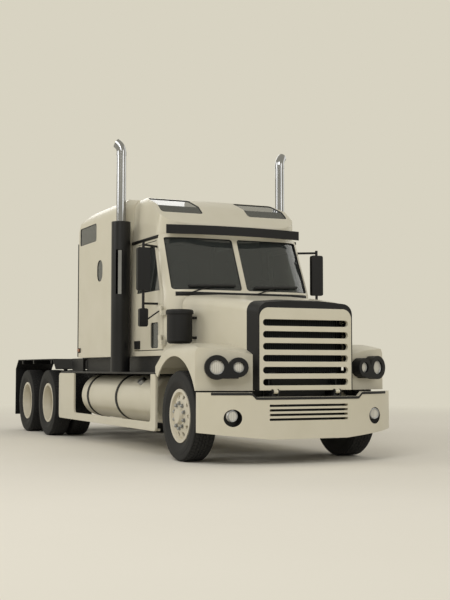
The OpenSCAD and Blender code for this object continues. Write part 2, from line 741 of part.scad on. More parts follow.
// Doors: the matching piece of the cab's wall; the right one has a low peep window
door_gap = panel_gap;
window_rim = 85;
window_head = 65;
window_foot = 25;
peep_front = 130;
peep_w = 262;
peep_low = 30;
peep_h = 318;
peep_fillet = 30;
function window_outline(gap) =
  let (x0 = x_cab0 + door_rear + window_rim + gap, x1 = x_cowl - door_front - window_rim - gap,
    z0 = belt_z + window_foot + gap, z1 = cab_top - door_head - window_head - gap)
  [[x0, z0], [x1, z0], [x1 - screen_slope * (z1 + gap - belt_z), z1], [x0, z1]];
module peep_outline(gap) {
  x1 = x_cowl - door_front - peep_front;
  z0 = cab_floor + door_low + peep_low;
  round_rect([x1 - peep_w + gap, z0 + gap], [x1 - gap, z0 + peep_h - gap], peep_fillet);
}
handle_w = 170;
handle_h = 105;
handle_t = 22;
handle_drop = 690;
handle_in = 60;
module door(side) {
  y0 = side > 0 ? 0 : -cab_w;
  color("#d3cdbb") {
    difference() {
      intersection() {
        difference() {
          cab_form(0);
          cab_form(cab_wall);
        }
        side_extrude(y0, y0 + cab_w) polygon(door_outline(door_gap));
      }
      side_extrude(y0, y0 + cab_w) polygon(window_outline(0));
      if (side < 0) side_extrude(y0, y0 + cab_w) peep_outline(0);
    }
    x_handle = x_cab0 + door_rear + handle_in;
    side_block(side, x_handle, x_handle + handle_w, cab_w / 2 - cab_wall / 2, cab_w / 2 + handle_t,
      belt_z - handle_drop, belt_z - handle_drop + handle_h);
    for (f = hinge_levels_share) {
      z = hinge_z(f);
      translate([hinge_x, side * hinge_y, z - hinge_h]) cylinder(r = hinge_pin_r, h = 2 * hinge_h);
      translate([hinge_x, side * hinge_y, z + pin_gap]) cylinder(r = hinge_r, h = hinge_h);
      side_block(side, hinge_x - hinge_leaf, hinge_x, cab_w / 2 + hinge_skin_gap, hinge_y + hinge_r / 2,
        z + pin_gap, z + hinge_h);
      side_block(side, hinge_x - hinge_leaf, hinge_x - hinge_fore - door_gap, cab_w / 2 - cab_wall / 2,
        cab_w / 2 + hinge_skin_gap, z + pin_gap, z + hinge_h);
    }
  }
}

// Door glass: panes let into the door's wall, flush but for a small reveal
glass_reveal = 18;
glass_t = 6;
module glass_layer() {
  difference() {
    cab_form(glass_reveal);
    cab_form(glass_reveal + glass_t);
  }
}
module door_glass(side) {
  y0 = side > 0 ? 0 : -cab_w;
  color("#101214") intersection() {
    glass_layer();
    union() {
      side_extrude(y0, y0 + cab_w) polygon(window_outline(seat_gap));
      if (side < 0) side_extrude(y0, y0 + cab_w) peep_outline(seat_gap);
    }
  }
}

// Cab roof: raised cap from the windscreen's header to the sleeper, with two skylights
roof_wall = 40;
roof_front_rise = 140;
roof_edge_r = 170;
roof_nose_share = 0.34;
roof_nose_rise_share = 0.62;
roof_knee_share = 0.68;
roof_knee_rise_share = 0.92;
roof_corner_x = 260;
roof_corner_y = 380;
cab_roof_drop = 10;
cab_roof_z = roof_z - cab_roof_drop;
skylight_in = 320;
skylight_out = 895;
skylight_back_share = 0.66;
skylight_front_share = 0.2;
function roof_side(inset) =
  let (span = x_header - x_cab0, rise = cab_roof_z - cab_top - roof_front_rise,
    z0 = cab_top + roof_front_rise, past = inset > 0 ? over : 0)
  [[x_cab0 - past, cab_top - past], [x_header - inset, cab_top - past],
  [x_header - inset, z0 - inset / 2],
  [x_header - roof_nose_share * span - inset / 2, z0 + roof_nose_rise_share * rise - inset],
  [x_header - roof_knee_share * span, z0 + roof_knee_rise_share * rise - inset],
  [x_cab0 - past, cab_roof_z - inset]];
module roof_form(inset) {
  half = cab_w / 2 - tumblehome - inset;
  intersection() {
    side_extrude(-cab_w, cab_w) polygon(roof_side(inset));
    front_extrude(x_cab0 - 2 * over, x_cowl) polygon(front_halves(concat([[cab_top - over, half]],
      arc_points(cab_roof_z - inset - roof_edge_r, half - roof_edge_r - tumblehome / 2, roof_edge_r,
        roof_edge_r, 90, 0))));
    linear_extrude(roof_z) polygon(both_halves(concat([[x_cab0 - 2 * over, half]],
      arc_points(x_header - inset - roof_corner_x, half - roof_corner_y, roof_corner_x, roof_corner_y,
        90, 0))));
  }
}
module skylight_outline(gap) {
  span = x_header - x_cab0;
  for (s = SIDES) round_rect(
    [x_header - skylight_back_share * span + gap, (s > 0 ? skylight_in : -skylight_out) + gap],
    [x_header - skylight_front_share * span - gap, (s > 0 ? skylight_out : -skylight_in) - gap],
    screen_fillet);
}
module cab_roof() {
  color("#d3cdbb") difference() {
    roof_form(0);
    roof_form(roof_wall);
    translate([0, 0, cab_top + roof_wall]) linear_extrude(roof_z) skylight_outline(0);
  }
}

// Sleeper: tall hollow box with a rounded roof, open to the cab at its front
sleeper_edge_r = 200;
sleeper_back_r = 90;
sleeper_back_drop = 400;
sleeper_knee_share = 0.075;
sleeper_knee_drop = 135;
sleeper_back_share = 0.3;
sleeper_crown_share = 0.45;
sleeper_front_drop = 30;
porthole_share = 0.47;
porthole_w = 240;
porthole_h = 300;
porthole_low = 1062;
porthole_round_share = 0.45;
upper_window_front_share = 0.55;
upper_window_back_share = 0.93;
upper_window_low = 1650;
upper_window_h = 255;
function sleeper_side(inset) = [
  [x_sleeper0 + inset, cab_floor + inset], [x_cab0 - inset, cab_floor + inset],
  [x_cab0 - inset, roof_z - sleeper_front_drop - inset],
  [x_cab0 - sleeper_crown_share * sleeper_length, roof_z - inset],
  [x_sleeper0 + sleeper_back_share * sleeper_length, roof_z - sleeper_front_drop - inset],
  [x_sleeper0 + sleeper_knee_share * sleeper_length + inset / 2, roof_z - sleeper_knee_drop - inset],
  [x_sleeper0 + inset, roof_z - sleeper_back_drop - inset / 2]];
module sleeper_form(inset) {
  half = sleeper_w / 2 - inset;
  intersection() {
    side_extrude(-sleeper_w, sleeper_w) polygon(sleeper_side(inset));
    front_extrude(x_sleeper0, x_cab0) polygon(front_halves(concat([[cab_floor, half]],
      arc_points(roof_z - inset - sleeper_edge_r, half - sleeper_edge_r, sleeper_edge_r, sleeper_edge_r,
        90, 0))));
    linear_extrude(2 * roof_z) polygon(both_halves(concat(
      arc_points(x_sleeper0 + inset + sleeper_back_r, half - sleeper_back_r, sleeper_back_r,
        sleeper_back_r, 180, 90),
      [[x_cab0, half]])));
  }
}
module sleeper_window_outline(gap) {
  xp = x_cab0 - porthole_share * sleeper_length;
  zp = cab_floor + porthole_low;
  round_rect([xp - porthole_w / 2 + gap, zp + gap], [xp + porthole_w / 2 - gap, zp + porthole_h - gap],
    porthole_round_share * porthole_w);
  zu = cab_floor + upper_window_low;
  round_rect([x_cab0 - upper_window_back_share * sleeper_length + gap, zu + gap],
    [x_cab0 - upper_window_front_share * sleeper_length - gap, zu + upper_window_h - gap], screen_fillet);
}
module sleeper_shell() {
  color("#d3cdbb") difference() {
    sleeper_form(0);
    sleeper_form(sleeper_wall);
    front_extrude(x_cab0 - 2 * sleeper_wall, x_cab0 + over)
      translate([-passage_half, cab_floor + passage_low])
        square([2 * passage_half, cab_top - cab_floor - passage_low]);
    side_extrude(-sleeper_w, sleeper_w) sleeper_window_outline(0);
  }
}

// Fixed glass: windscreen panes, skylights and the sleeper's side windows
module fixed_glass() {
  color("#101214") {
    intersection() {
      glass_layer();
      front_extrude(x_header - 2 * cab_wall - over, x_cowl + over) pane_outline(seat_gap);
    }
    intersection() {
      difference() {
        roof_form(glass_reveal / 2);
        roof_form(glass_reveal / 2 + glass_t);
      }
      translate([0, 0, cab_top + roof_wall]) linear_extrude(roof_z) skylight_outline(seat_gap);
    }
    intersection() {
      difference() {
        sleeper_form(glass_reveal / 2);
        sleeper_form(glass_reveal / 2 + glass_t);
      }
      side_extrude(-sleeper_w, sleeper_w) sleeper_window_outline(seat_gap);
    }
  }
}

// Sun visor: a dark blade across the header, standing on two end brackets
visor_side_gap = 95;
visor_half = cab_w / 2 - visor_side_gap;
visor_h = 115;
visor_t = 12;
visor_reach = 150;
visor_low = 5;
visor_bracket_t = 16;
visor_bow = 110;
visor_steps = 8;
// The blade's bowed face in plan, set back by a distance
function visor_line(back) = [for (k = [-visor_steps : visor_steps])
  [x_header + visor_reach - back - visor_bow * pow(k / visor_steps, 2), visor_half * k / visor_steps]];
module sun_visor() {
  color("#131314") {
    z0 = cab_top - visor_low;
    translate([0, 0, z0]) linear_extrude(visor_h)
      polygon(concat(visor_line(0), [for (k = [2 * visor_steps : -1 : 0]) visor_line(visor_t)[k]]));
    for (y = [-visor_half / 2, visor_half / 2]) block([x_header, y - visor_bracket_t / 2, z0 + visor_h / 3],
      [x_header + visor_reach - visor_bow / 4 - visor_t / 2, y + visor_bracket_t / 2, z0 + visor_h / 2]);
  }
}

// Exhaust stacks: silencer, pipe and turned-out tip, standing on the tread behind each door
stack_setback = 125;
stack_wall = 4;
clamp_h = 40;
tip_bend_r = 150;
tip_angle = 58;
tip_turn = 32;
silencer_d = 176;
silencer_base = fairing_top + tread_t;
x_stack = x_cab0 + stack_setback;
stack_y = cab_w / 2 + stack_gap + shield_d / 2;
tip_rise = tip_bend_r * sin(tip_angle) + stack_d / 2 * cos(tip_angle);
module stack(side) {
  translate([x_stack, side * stack_y, 0]) {
    bend_z = stack_top - tip_rise;
    translate([0, 0, silencer_base]) cylinder(d = silencer_d, h = shield_top - silencer_base);
    difference() {
      translate([0, 0, shield_top]) cylinder(d = stack_d, h = bend_z - shield_top);
      translate([0, 0, shield_top + over]) cylinder(d = stack_d - 2 * stack_wall, h = bend_z);
    }
    translate([0, 0, bend_z - clamp_h]) difference() {
      cylinder(d = stack_d + 2 * stack_wall, h = clamp_h + 2 * stack_wall);
      translate([0, 0, -over]) cylinder(d = stack_d - stack_wall, h = clamp_h + 2 * over);
    }
    rotate([0, 0, side * (90 + tip_turn)]) translate([tip_bend_r, 0, bend_z]) rotate([90, 0, 180])
      rotate_extrude(angle = tip_angle) translate([tip_bend_r, 0]) difference() {
        circle(d = stack_d);
        circle(d = stack_d - 2 * stack_wall);
      }
  }
}
module exhaust_stacks() {
  color("#2a2a2c") for (s = SIDES) stack(s);
}

// Heat shields: slotted guards round the silencers, open toward the cab
shield_wall = 5;
shield_slot_w = 84;
shield_slot_low = 2020;
shield_slot_high = 2600;
shield_slot_turn = 30;
module heat_shield(side) {
  translate([x_stack, side * stack_y, 0]) difference() {
    translate([0, 0, silencer_base]) cylinder(d = shield_d, h = shield_top - silencer_base);
    translate([0, 0, silencer_base - over]) cylinder(d = shield_d - 2 * shield_wall, h = shield_top);
    rotate([0, 0, side * shield_slot_turn])
      block([0, -shield_slot_w / 2, shield_slot_low], [shield_d, shield_slot_w / 2, shield_slot_high]);
  }
}
module heat_shields() {
  color("#1a1a1b") for (s = SIDES) heat_shield(s);
}

// Dashboard: a moulding under the windscreen, with the steering wheel on the left
dash_side_gap = 70;
dash_half = cab_w / 2 - cab_wall - dash_side_gap;
dash_depth = 480;
dash_low = 300;
dash_top_gap = 25;
dash_nose = 120;
wheel_ring_r = 225;
wheel_rim_r = 16;
wheel_tilt = 38;
wheel_reach = 290;
wheel_hub_r = 60;
wheel_hub_t = 40;
spoke_r = 11;
column_r = 35;
module dashboard() {
  x1 = x_cowl;
  color("#202124") {
    intersection() {
      cab_form(cab_wall);
      side_extrude(-dash_half, dash_half) polygon([[x1, cab_floor + dash_low], [x1, belt_z - dash_top_gap],
        [x1 - dash_depth + dash_nose, belt_z - dash_top_gap],
        [x1 - dash_depth, belt_z - dash_top_gap - dash_nose],
        [x1 - dash_depth + dash_nose, cab_floor + dash_low]]);
    }
    translate([x1 - dash_depth + dash_nose / 2, seat_y, belt_z - dash_nose - dash_top_gap])
      rotate([0, -90 + wheel_tilt, 0]) {
      cylinder(r = column_r, h = wheel_reach);
      translate([0, 0, wheel_reach]) {
        rotate_extrude() translate([wheel_ring_r, 0]) circle(r = wheel_rim_r);
        cylinder(r = wheel_hub_r, h = wheel_hub_t, center = true);
        for (a = [90, 210, 330]) rotate([0, 90, a]) cylinder(r = spoke_r, h = wheel_ring_r);
      }
    }
  }
}

// Seats: two air-sprung chairs, each a pedestal, a cushion and a back
seat_out_share = 0.44;
seat_y = seat_out_share * cab_w / 2;
seat_w = 520;
seat_setback = 760;
cushion_d = 500;
cushion_t = 130;
cushion_z = 420;
seat_back_h = 760;
seat_back_t = 130;
seat_lean = 90;
pedestal_w = 340;
seat_fillet = 45;
module seat(side) {
  x1 = x_cowl - seat_setback;
  z0 = cab_floor + cab_wall;
  y = side * seat_y;
  z1 = cab_floor + cushion_z;
  x0 = x1 - cushion_d;
  block([x0 + seat_fillet, y - pedestal_w / 2, z0], [x1 - 2 * seat_fillet, y + pedestal_w / 2, z1]);
  side_extrude(y - seat_w / 2, y + seat_w / 2) {
    round_rect([x0, z1], [x1, z1 + cushion_t], seat_fillet);
    polygon([[x0, z1 + seat_fillet], [x0 + seat_back_t, z1 + cushion_t / 2],
      [x0 + seat_back_t - seat_lean, z1 + cushion_t + seat_back_h],
      [x0 - seat_lean, z1 + cushion_t + seat_back_h]]);
  }
}
module seats() {
  color("#3a3834") for (s = SIDES) seat(s);
}

// Bunk: mattress on a base box across the back of the sleeper
bunk_d = 860;
bunk_base_h = 420;
mattress_t = 160;
bunk_gap = 30;
module bunk() {
  color("#4a4740") {
    half = sleeper_w / 2 - sleeper_wall - bunk_gap;
    x0 = x_sleeper0 + sleeper_wall + bunk_gap;
    block([x0, -half, cab_floor + sleeper_wall], [x0 + bunk_d, half, cab_floor + sleeper_wall + bunk_base_h]);
    side_extrude(-half, half) round_rect([x0, cab_floor + sleeper_wall + bunk_base_h - seat_fillet],
      [x0 + bunk_d, cab_floor + sleeper_wall + bunk_base_h + mattress_t], seat_fillet);
  }
}

// Fifth wheel: a tilting coupling plate with a kingpin jaw, on two trunnion brackets
plate_r = 455;
plate_t = 48;
plate_z = 1250;
jaw_r = 25.5;
throat_w = 46;
throat_mouth = 420;
trunnion_r = 28;
trunnion_y = 330;
trunnion_drop = 70;
trunnion_w = 60;
plate_ear_t = 40;
base_plate_t = 20;
base_half_x = 230;
jaw_setback = 90;
coupling_fore = 150;
x_fifth = (x_drive[0] + x_drive[1]) / 2 + coupling_fore;
trunnion_z = plate_z - plate_t - trunnion_drop;
module fifth_wheel_plate() {
  color("#232426") difference() {
    union() {
      difference() {
        translate([x_fifth, 0, plate_z - plate_t]) cylinder(r = plate_r, h = plate_t);
        translate([0, 0, plate_z - plate_t - over]) linear_extrude(plate_t + 2 * over) polygon([
          [x_fifth - jaw_setback, throat_w / 2], [x_fifth - jaw_setback, -throat_w / 2],
          [x_fifth - plate_r / 2, -throat_w / 2], [x_fifth - plate_r - over, -throat_mouth / 2],
          [x_fifth - plate_r - over, throat_mouth / 2], [x_fifth - plate_r / 2, throat_w / 2]]);
      }
      for (s = SIDES) side_block(s, x_fifth - 2 * trunnion_r, x_fifth + 2 * trunnion_r,
        trunnion_y - trunnion_w / 2 - panel_gap - plate_ear_t, trunnion_y - trunnion_w / 2 - panel_gap,
        trunnion_z - 2 * trunnion_r, plate_z - plate_t);
    }
    translate([x_fifth - jaw_setback, 0, plate_z - plate_t - over])
      cylinder(r = jaw_r, h = plate_t + 2 * over);
    for (s = SIDES) bar_y(x_fifth, trunnion_z, trunnion_r + pin_gap,
      s * (trunnion_y - 2 * trunnion_w - plate_ear_t), s * trunnion_y);
  }
}
module fifth_wheel_base() {
  color("#1f2022") {
    block([x_fifth - base_half_x, -frame_w / 2, frame_top],
      [x_fifth + base_half_x, frame_w / 2, frame_top + base_plate_t]);
    for (s = SIDES) {
      side_block(s, x_fifth - 2 * trunnion_r, x_fifth + 2 * trunnion_r, trunnion_y - trunnion_w / 2,
        trunnion_y + trunnion_w / 2, frame_top + base_plate_t, trunnion_z + trunnion_r);
      bar_y(x_fifth, trunnion_z, trunnion_r, s * (trunnion_y - trunnion_w / 2 - panel_gap - plate_ear_t),
        s * trunnion_y);
    }
  }
}

// Hood: one moulding of bonnet and fenders. The bonnet is lofted through a table of stations
hood_gap = 20;
hood_front = 880;
hood_low = 1120;
hood_shoulder = 120;
hood_crown = 25;
fender_half = 1200;
fender_low = 810;
fender_crown = 1335;
fender_rear_z = 1000;
fender_sweep = 215;
fender_front = 810;
fender_front_half = 600;
fender_edge_r = 130;
fender_inner = 560;
arch_back = 25;
collar_depth = 180;
collar_wall = 22;
x_hood1 = x_steer + hood_front;
x_hood0 = x_cowl + hood_gap;
x_collar0 = x_hood1 - collar_depth;
// Columns: shares of the way from cowl to grille, of the taper and of the fall in height
HOOD_STATIONS = [[0, 0, 0], [0.35, 0.3, 0.25], [0.7, 0.66, 0.6], [1, 1, 1]];
function hood_section(st, inset, low) =
  let (half = hood_back_half + (hood_nose_half - hood_back_half) * st[1] - inset,
    top = hood_back_z + (hood_nose_z - hood_back_z) * st[2] - inset,
    shoulder = hood_shoulder - inset / 2,
    right = concat([[half, low]],
      arc_points(half - shoulder, top - shoulder - hood_crown, shoulder, shoulder, 0, 90),
      [[half / 2 - shoulder / 2, top - hood_crown / 4]]))
  concat(right, [for (k = [len(right) - 1 : -1 : 0]) [-right[k][0], right[k][1]]]);
module hood_loft(inset, x0, x1, low) {
  sections = [for (st = HOOD_STATIONS) hood_section(st, inset, low)];
  n = len(sections[0]);
  m = len(HOOD_STATIONS);
  points = [for (i = [0 : m - 1], p = sections[i]) [x0 + (x1 - x0) * HOOD_STATIONS[i][0], p[0], p[1]]];
  polyhedron(points, concat(
    [[for (k = [0 : n - 1]) k]],
    [for (i = [0 : m - 2], k = [0 : n - 1]) each [
      [i * n + k, (i + 1) * n + (k + 1) % n, i * n + (k + 1) % n],
      [i * n + k, (i + 1) * n + k, (i + 1) * n + (k + 1) % n]]],
    [[for (k = [n - 1 : -1 : 0]) (m - 1) * n + k]]));
}
x_fender1 = x_steer + fender_front;
function fender_side(inset) =
  let (x1 = x_fender1 - inset, top = fender_crown - inset, low = fender_low - (inset > 0 ? over : 0))
  [[x1, low], [x1, top - fender_edge_r], [x1 - fender_edge_r, top - fender_edge_r / 2],
  [x_steer + arch_r / 2, top], [x_steer - arch_r / 4, top],
  [x_steer - cowl_setback / 2 - inset / 2, top - fender_edge_r / 2],
  [x_hood0 + inset, top - 2 * fender_edge_r],
  [x_hood0 + inset, fender_rear_z - (inset > 0 ? over : 0)], [x_steer - arch_r / 2, low]];
module fender_form(side, inset) {
  half = fender_half - inset;
  top = fender_crown - inset;
  x1 = x_fender1 - inset;
  intersection() {
    side_extrude(side > 0 ? fender_inner : -fender_half, side > 0 ? fender_half : -fender_inner)
      polygon(fender_side(inset));
    front_extrude(x_hood0 - over, x_fender1 + over) scale([side, 1]) polygon(concat(
      [[fender_inner, fender_low - 2 * over], [half, fender_low - 2 * over]],
      arc_points(half - fender_edge_r, top - fender_edge_r, fender_edge_r, fender_edge_r, 0, 90),
      [[fender_inner, top]]));
    linear_extrude(2 * fender_crown) scale([1, side]) polygon([
      [x_hood0 - over, fender_inner - over], [x_hood0 - over, half], [x1 - fender_sweep, half],
      [x1, fender_front_half], [x1, fender_inner - over]]);
  }
}
// The nose end of the bonnet's loft, where the grille's collar takes the moulding's place
module nose_form() {
  intersection() {
    hood_loft(0, x_hood0, x_hood1, grille_low);
    block([x_collar0, -fender_half, 0], [x_front, fender_half, roof_z]);
  }
}
module hood_shell() {
  color("#d3cdbb") difference() {
    union() {
      difference() {
        hood_loft(0, x_hood0, x_hood1, hood_low);
        block([x_collar0, -fender_half, 0], [x_front, fender_half, roof_z]);
      }
      for (s = SIDES) fender_form(s, 0);
    }
    hood_loft(hood_wall, x_hood0 - over, x_hood1 + over, hood_low - over);
    for (s = SIDES) fender_form(s, hood_wall);
    block([x_hood0 - over, -fender_inner - over, 0], [x_front, fender_inner + over, hood_low + over]);
    nose_form();
    side_extrude(-2 * fender_half, 2 * fender_half) translate([x_steer - arch_back, axle_z])
      circle(r = arch_r);
  }
}

// Grille: a slotted shell in a dark collar that wraps its top and sides
grille_t = 45;
grille_low = 815;
grille_fillet = 110;
grille_side_lip = 12;
grille_top_lip = 85;
grille_round_share = 0.487;
grille_half = hood_nose_half - grille_side_lip;
grille_top = hood_nose_z - grille_top_lip;
x_grille1 = x_hood1 + grille_t;
grille_pitch = (grille_high_z - grille_low_z) / (grille_slots - 1);
module grille_outline() {
  round_rect([-grille_half, grille_low], [grille_half, grille_top], grille_fillet);
  translate([-grille_half, grille_low]) square([2 * grille_half, grille_top - grille_low - grille_fillet]);
}
// A hood hinge's eye, on a lug under the grille
module hood_eye(side) {
  y0 = side * hood_hinge_y - hood_eye_w / 2;
  bar_y(x_hood_hinge, hood_hinge_z, hood_eye_r, y0, y0 + hood_eye_w);
  block([x_hood1, y0, hood_hinge_z], [x_hood_hinge, y0 + hood_eye_w, grille_low + hood_eye_r]);
}
module grille() {
  color("#d3cdbb") difference() {
    union() {
      difference() {
        front_extrude(x_hood1, x_grille1) difference() {
          grille_outline();
          for (k = [0 : grille_slots - 1]) translate([0, grille_low_z + k * grille_pitch])
            round_rect([-grille_slot_half, -grille_slot_h / 2], [grille_slot_half, grille_slot_h / 2],
              grille_round_share * grille_slot_h);
        }
        for (s = SIDES, k = [-1, 1]) {
          y = s * hood_hinge_y + k * hood_eye_w / 2;
          bar_y(x_hood_hinge, hood_hinge_z, hood_eye_r + cheek_gap, y,
            y + k * (2 * cheek_gap + cheek_t));
        }
      }
      for (s = SIDES) hood_eye(s);
    }
    for (s = SIDES) bar_y(x_hood_hinge, hood_hinge_z, hood_pin_r + pin_gap, s * hood_hinge_y - hood_eye_w,
      s * hood_hinge_y + hood_eye_w);
  }
}
module grille_surround() {
  color("#121213") {
    difference() {
      nose_form();
      hood_loft(collar_wall, x_hood0 - over, x_hood1 + over, grille_low - over);
    }
    front_extrude(x_hood1, x_grille1) difference() {
      polygon(hood_section([1, 1, 1], 0, grille_low));
      grille_outline();
    }
  }
}

// Headlamps: a dark pod on each fender's face, with a large outer and a small inner lamp
lamp_outer_r = 80;
lamp_inner_r = 60;
lamp_outer_bezel = 54;
lamp_inner_bezel = 48;
lamp_pitch = 236;
pod_t = 120;
pod_z = 1065;
pod_y = 870;
pod_low_drop = 122;
lens_recess = 34;
lens_t = pod_t - lens_recess;
lens_dome = 12;
fender_angle = atan2(fender_sweep, fender_half - fender_front_half);
// Middle of the pod on the fender's swept face
pod_x = x_fender1 - fender_sweep * (pod_y - fender_front_half) / (fender_half - fender_front_half);
module on_fender_face(side) {
  translate([pod_x, side * pod_y, pod_z]) rotate([0, 0, side * fender_angle]) rotate([90, 0, 90]) children();
}
module pod_outline(side) {
  translate([side * lamp_pitch / 2, 0]) circle(r = lamp_outer_r + lamp_outer_bezel);
  translate([-side * lamp_pitch / 2, 0]) circle(r = lamp_inner_r + lamp_inner_bezel);
  translate([-lamp_pitch / 2, -pod_low_drop]) square([lamp_pitch, pod_low_drop]);
}
module headlamp_pods() {
  color("#111112") for (s = SIDES) on_fender_face(s)
    linear_extrude(pod_t) difference() {
      pod_outline(s);
      translate([s * lamp_pitch / 2, 0]) circle(r = lamp_outer_r);
      translate([-s * lamp_pitch / 2, 0]) circle(r = lamp_inner_r);
    }
}
module lamp_lens(r) {
  rotate_extrude() polygon(concat([[0, 0], [r - seat_gap, 0]],
    arc_points(0, lens_t, r - seat_gap, lens_dome, 0, 90)));
}
module headlamp_lenses() {
  color("#eceadf") for (s = SIDES) on_fender_face(s) {
    translate([s * lamp_pitch / 2, 0, 0]) lamp_lens(lamp_outer_r);
    translate([-s * lamp_pitch / 2, 0, 0]) lamp_lens(lamp_inner_r);
  }
}

// Air cleaners: a capped canister beside the bonnet on each side, on two brackets
can_r = 150;
can_y = 1010;
can_setback = 320;
can_low = 1345;
can_top = 1745;
can_cap_h = 55;
can_cap_lip = 14;
can_fillet = 26;
can_foot_h = 60;
module air_cleaner(side) {
  translate([x_steer - can_setback, side * can_y, 0]) {
    translate([0, 0, can_low]) rotate_extrude() polygon(concat(
      [[0, 0], [can_r - can_fillet, 0], [can_r, can_fillet],
      [can_r, can_top - can_low - can_cap_h], [can_r + can_cap_lip, can_top - can_low - can_cap_h]],
      arc_points(can_r + can_cap_lip - can_fillet, can_top - can_low - can_fillet, can_fillet, can_fillet,
        0, 90),
      [[0, can_top - can_low]]));
  }
  x = x_steer - can_setback;
  for (z = [can_low + can_cap_h, can_top - 2 * can_cap_h])
    side_block(side, x - can_foot_h / 2, x + can_foot_h / 2, hood_back_half - 2 * can_foot_h, can_y,
      z, z + can_foot_h / 2);
}
module air_cleaners() {
  color("#121213") difference() {
    for (s = SIDES) air_cleaner(s);
    hood_loft(0, x_hood0, x_hood1, hood_low);
  }
}

// Mirrors: a tall and a small head on a stem, held off the door by two arms and a brace
mirror_out = 190;
mirror_y = cab_w / 2 + mirror_out;
mirror_setback = 365;
mirror_w = 165;
mirror_d = 62;
mirror_low = 2010;
mirror_high = 2540;
mirror_fillet = 26;
spot_w = 110;
spot_low = 1565;
spot_high = 1790;
stem_r = 17;
mirror_arm_r = 14;
brace_r = 9;
brace_fore = 115;
arm_top_z = 2575;
arm_low_z = 1850;
x_mirror = x_cowl - mirror_setback;
arm_end_x = x_cowl - door_front - door_gap - screen_slope * (arm_top_z - belt_z) - window_rim / 2;
// Inside the door's wall, where its skin cuts the arms
arm_end_y = cab_w / 2 - cab_wall - tumblehome;
module mirror_head(y, w, low, high) {
  front_extrude(x_mirror - mirror_d / 2, x_mirror + mirror_d / 2)
    round_rect([y - w / 2, low], [y + w / 2, high], mirror_fillet);
}
module mirror_assembly(side) {
  y = side * mirror_y;
  color("#131314") difference() {
    union() {
      mirror_head(y, mirror_w, mirror_low, mirror_high);
      mirror_head(y, spot_w, spot_low, spot_high);
      translate([x_mirror, y, spot_high - stem_r])
        cylinder(r = stem_r, h = arm_top_z - spot_high + 2 * stem_r + mirror_arm_r);
      bar([x_mirror, y, arm_top_z], [arm_end_x, side * arm_end_y, arm_top_z], mirror_arm_r);
      bar_y(x_mirror, arm_low_z, mirror_arm_r, y, side * arm_end_y);
      bar([x_mirror, y, spot_low + 2 * mirror_fillet],
        [x_mirror + brace_fore, side * arm_end_y, arm_low_z], brace_r);
    }
    cab_form(0);
  }
}

// Knuckles: yoke about the axle's eye, kingpin, spindle and steering arm
yoke_t = 45;
yoke_gap = 5;
yoke_r = 58;
yoke_web = 40;
knuckle_spindle_r = 42;
spindle_reach = 70;
knuckle_spindle_end = front_track / 2 + spindle_reach;
steer_arm_back = 200;
steer_arm_w = 56;
steer_arm_t = 36;
ball_r = 20;
web_y = kingpin_y + eye_r + yoke_gap;
// The arms' pins stand straight behind the kingpins, so the tie rod stays square
ball_y = kingpin_y;
arm_z = axle_z - eye_h / 2 - yoke_gap - yoke_t;
module knuckle(side) {
  color("#303234") {
    for (z = [axle_z + eye_h / 2 + yoke_gap, arm_z]) {
      translate([x_steer, side * kingpin_y, z]) cylinder(r = yoke_r, h = yoke_t);
      side_block(side, x_steer - yoke_r, x_steer + yoke_r, kingpin_y, web_y + yoke_web, z, z + yoke_t);
    }
    side_block(side, x_steer - yoke_r, x_steer + yoke_r, web_y, web_y + yoke_web, arm_z,
      axle_z + eye_h / 2 + yoke_gap + yoke_t);
    translate([x_steer, side * kingpin_y, arm_z])
      cylinder(r = kingpin_r, h = eye_h + 2 * yoke_gap + 2 * yoke_t);
    bar_y(x_steer, axle_z, knuckle_spindle_r, side * web_y, side * knuckle_spindle_end);
    side_block(side, x_steer - steer_arm_back, x_steer, ball_y - steer_arm_w / 2, ball_y + steer_arm_w / 2,
      arm_z, arm_z + steer_arm_t);
    translate([x_steer - steer_arm_back, side * ball_y, arm_z]) {
      cylinder(r = steer_arm_w / 2, h = steer_arm_t);
      translate([0, 0, -steer_arm_t - 2 * yoke_gap]) cylinder(r = ball_r / 2, h = 2 * steer_arm_t);
    }
  }
}

// Tie rod: a straight bar behind the axle, hung on the two steering arms' pins
tie_rod_r = 15;
tie_eye_r = 32;
tie_eye_h = 36;
tie_z = arm_z - yoke_gap - tie_eye_h / 2;
module tie_rod() {
  x = x_steer - steer_arm_back;
  color("#3a3c3e") difference() {
    union() {
      bar_y(x, tie_z, tie_rod_r, -ball_y, ball_y);
      for (s = SIDES) translate([x, s * ball_y, tie_z - tie_eye_h / 2])
        cylinder(r = tie_eye_r, h = tie_eye_h);
    }
    for (s = SIDES) translate([x, s * ball_y, tie_z - tie_eye_h])
      cylinder(r = ball_r / 2 + pin_gap, h = 2 * tie_eye_h);
  }
}

// Wheels: a rolled rim with a disc, hand holes, a bored hub and the brake drum
rim_r = rim_d / 2;
rim_w = 230;
rim_t = 14;
rim_lip = 20;
disc_t = 14;
disc_offset = 95;
hub_r = 168;
hub_neck_r = 100;
drive_hub_half = 35;
hub_yoke_gap = 12;
hub_cap_r = 95;
hub_cap_h = 55;
drum_r = 222;
drum_w = 170;
hand_holes = 10;
hand_hole_r = 26;
hand_hole_pcd_r = 216;
// Rim outline as (radius, distance along the axle), its middle at 0
module rim_section() {
  h = rim_w / 2;
  polygon([[rim_r - rim_t, -h], [rim_r + rim_lip, -h], [rim_r + rim_lip, -h + rim_t],
    [rim_r, -h + rim_t + rim_lip], [rim_r - rim_lip, -rim_t], [rim_r - rim_lip, rim_t],
    [rim_r, h - rim_t - rim_lip], [rim_r + rim_lip, h - rim_t], [rim_r + rim_lip, h],
    [rim_r - rim_t, h],
    [rim_r - rim_t - rim_lip, rim_t], [rim_r - rim_t - rim_lip, -rim_t]]);
}
